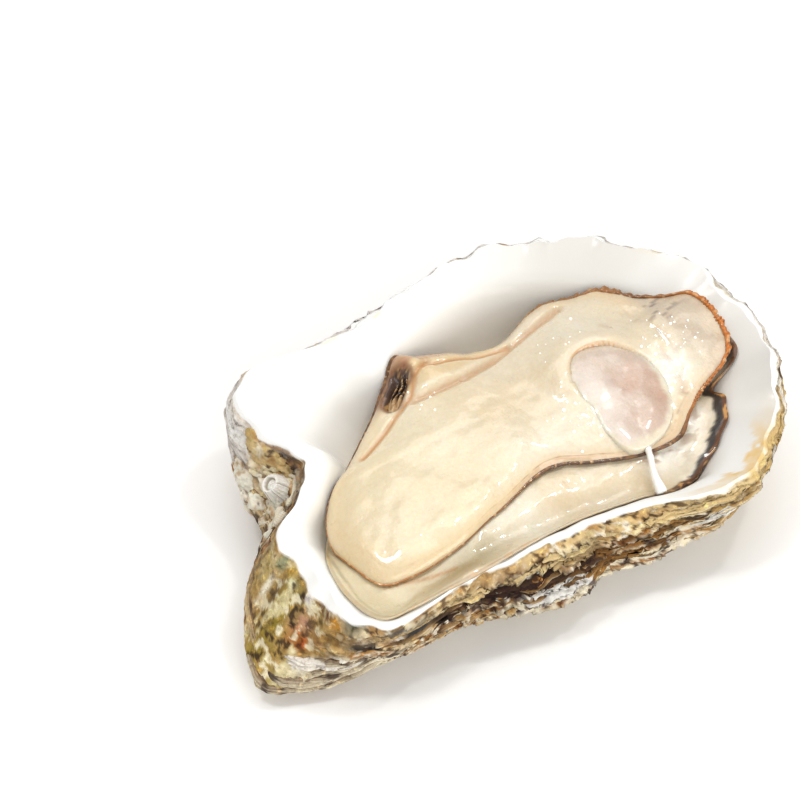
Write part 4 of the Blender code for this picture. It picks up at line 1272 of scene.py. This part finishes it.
# ---- Loose flakes of the shell ----------------------------------------------------------------
# Thin curved plates on the flanks whose free edges have lifted: tan and ochre where they come out
# of the shell, cream at the worn edge, and a few broad white ones along the bottom of the flank.

# Angle, stop, their spreads, length in degrees, height in stops, lift in mm, count, colour.
FLAKES = [
    (222, 0.45, 8, 0.25, 9, 0.03, 0.5, 14, (0.72, 0.5, 0.25)),
    (245, 0.45, 9, 0.25, 12, 0.035, 0.6, 16, (0.66, 0.42, 0.17)),
    (270, 0.5, 9, 0.25, 13, 0.035, 0.6, 16, (0.5, 0.28, 0.09)),
    (297, 0.5, 9, 0.3, 11, 0.045, 0.6, 16, (0.76, 0.53, 0.22)),
    (320, 0.6, 8, 0.3, 9, 0.05, 0.5, 14, (0.78, 0.56, 0.24)),
    (253, 0.66, 5, 0.06, 7, 0.07, 1.7, 9, (1, 0.98, 0.92)),
    (303, 0.62, 6, 0.04, 12, 0.05, 0.9, 7, (1, 0.97, 0.88)),
    (200, 0.88, 6, 0.12, 5, 0.05, 0.5, 16, (0.9, 0.82, 0.62)),
    (199, 0.69, 3.6, 0.02, 3, 0.02, 0.6, 8, (1, 0.95, 0.86)),
    (345, 0.6, 12, 0.25, 9, 0.05, 0.4, 14, (0.95, 0.92, 0.86)),
    (60, 0.5, 40, 0.3, 9, 0.045, 0.5, 40, (0.92, 0.88, 0.82)),
    (105, 0.6, 10, 0.25, 9, 0.05, 0.5, 14, (0.92, 0.88, 0.82)),
    (165, 1.0, 6, 0.12, 7, 0.05, 0.5, 12, (0.8, 0.64, 0.38)),
]
FLAKE_THICKNESS = 0.2

numbers, flake_colour, middle_angle, middle_stop = scattered(FLAKES, 2, 0.17)
length, height, lift = numbers[:, 4:].T
flake_mesh, places, group = swarm(len(numbers), 40, 14)
scale = 0.5 + 0.8 * chance.random(len(numbers))
edge_wave = 1 + 0.28 * grain(places * 2.2 + group[:, None] * 5.1, 1, 95)
lengthwise = places[:, 0] * edge_wave
downward = places[:, 1] * edge_wave
angle = middle_angle[group] + lengthwise * (length * scale)[group]
stop = np.maximum(middle_stop[group] + downward * (height * scale)[group], 0.12)
here = outside(angle, stop, 0.75)[0]
out = seats(middle_angle, middle_stop)[3]
free = np.clip(0.5 + 0.5 * downward, 0, 1.2)
curl = 0.3 * np.sin(lengthwise * 5 + group) * free
raised = lift[group] * (free**1.6 * 0.9 - 0.25 + curl) + places[:, 2] * FLAKE_THICKNESS
points = here + out[group] * raised[:, None]
growth_line = 0.5 + 0.5 * np.sin(downward * 14 + 2 * grain(points, 1.5, 97))
white = eased((flake_colour[group][:, 2] - 0.75) / 0.1)
# Painted shade: flakes in the near flank's crevices are darkened near black, as the flank is there.
seen_at = rows_of(middle_angle / 6, middle_stop * 5)
flake_crevice_shade = eased((grain(seen_at, 1, 101) + 0.35) / 0.4) * blot(middle_stop, 0.46, 0.22)
flake_crevice_shade *= blot(middle_angle, CREVICE, 30)
new_layer = eased((0.36 - middle_stop) / 0.14) * blot(middle_angle, NEAR_SIDE, 60)
specks = eased((rough(points, 2, 3, 99) - 0.3) / 0.3)
colours = painted(
    flake_colour[group], points,
    ((0.16, 0.07, 0.02), (0.8 * (1 - free) + 0.25 * growth_line) * (1 - 0.75 * white)),
    ((0.95, 0.87, 0.68), eased((free - 0.85) / 0.2) * (0.8 - 0.8 * white)),
    ((0.06, 0.035, 0.028), specks * (0.85 - 0.6 * white)),
    ((0.05, 0.024, 0.018), 1.2 * flake_crevice_shade[group] * (1 - 0.8 * white)),
    ((0.88, 0.71, 0.40), 0.7 * new_layer[group]),
)
flakes = finished(flake_mesh, "loose_flakes", points, colours, shell_material())
measure(flakes.data, "lining", np.zeros(len(points)))

low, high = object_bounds()
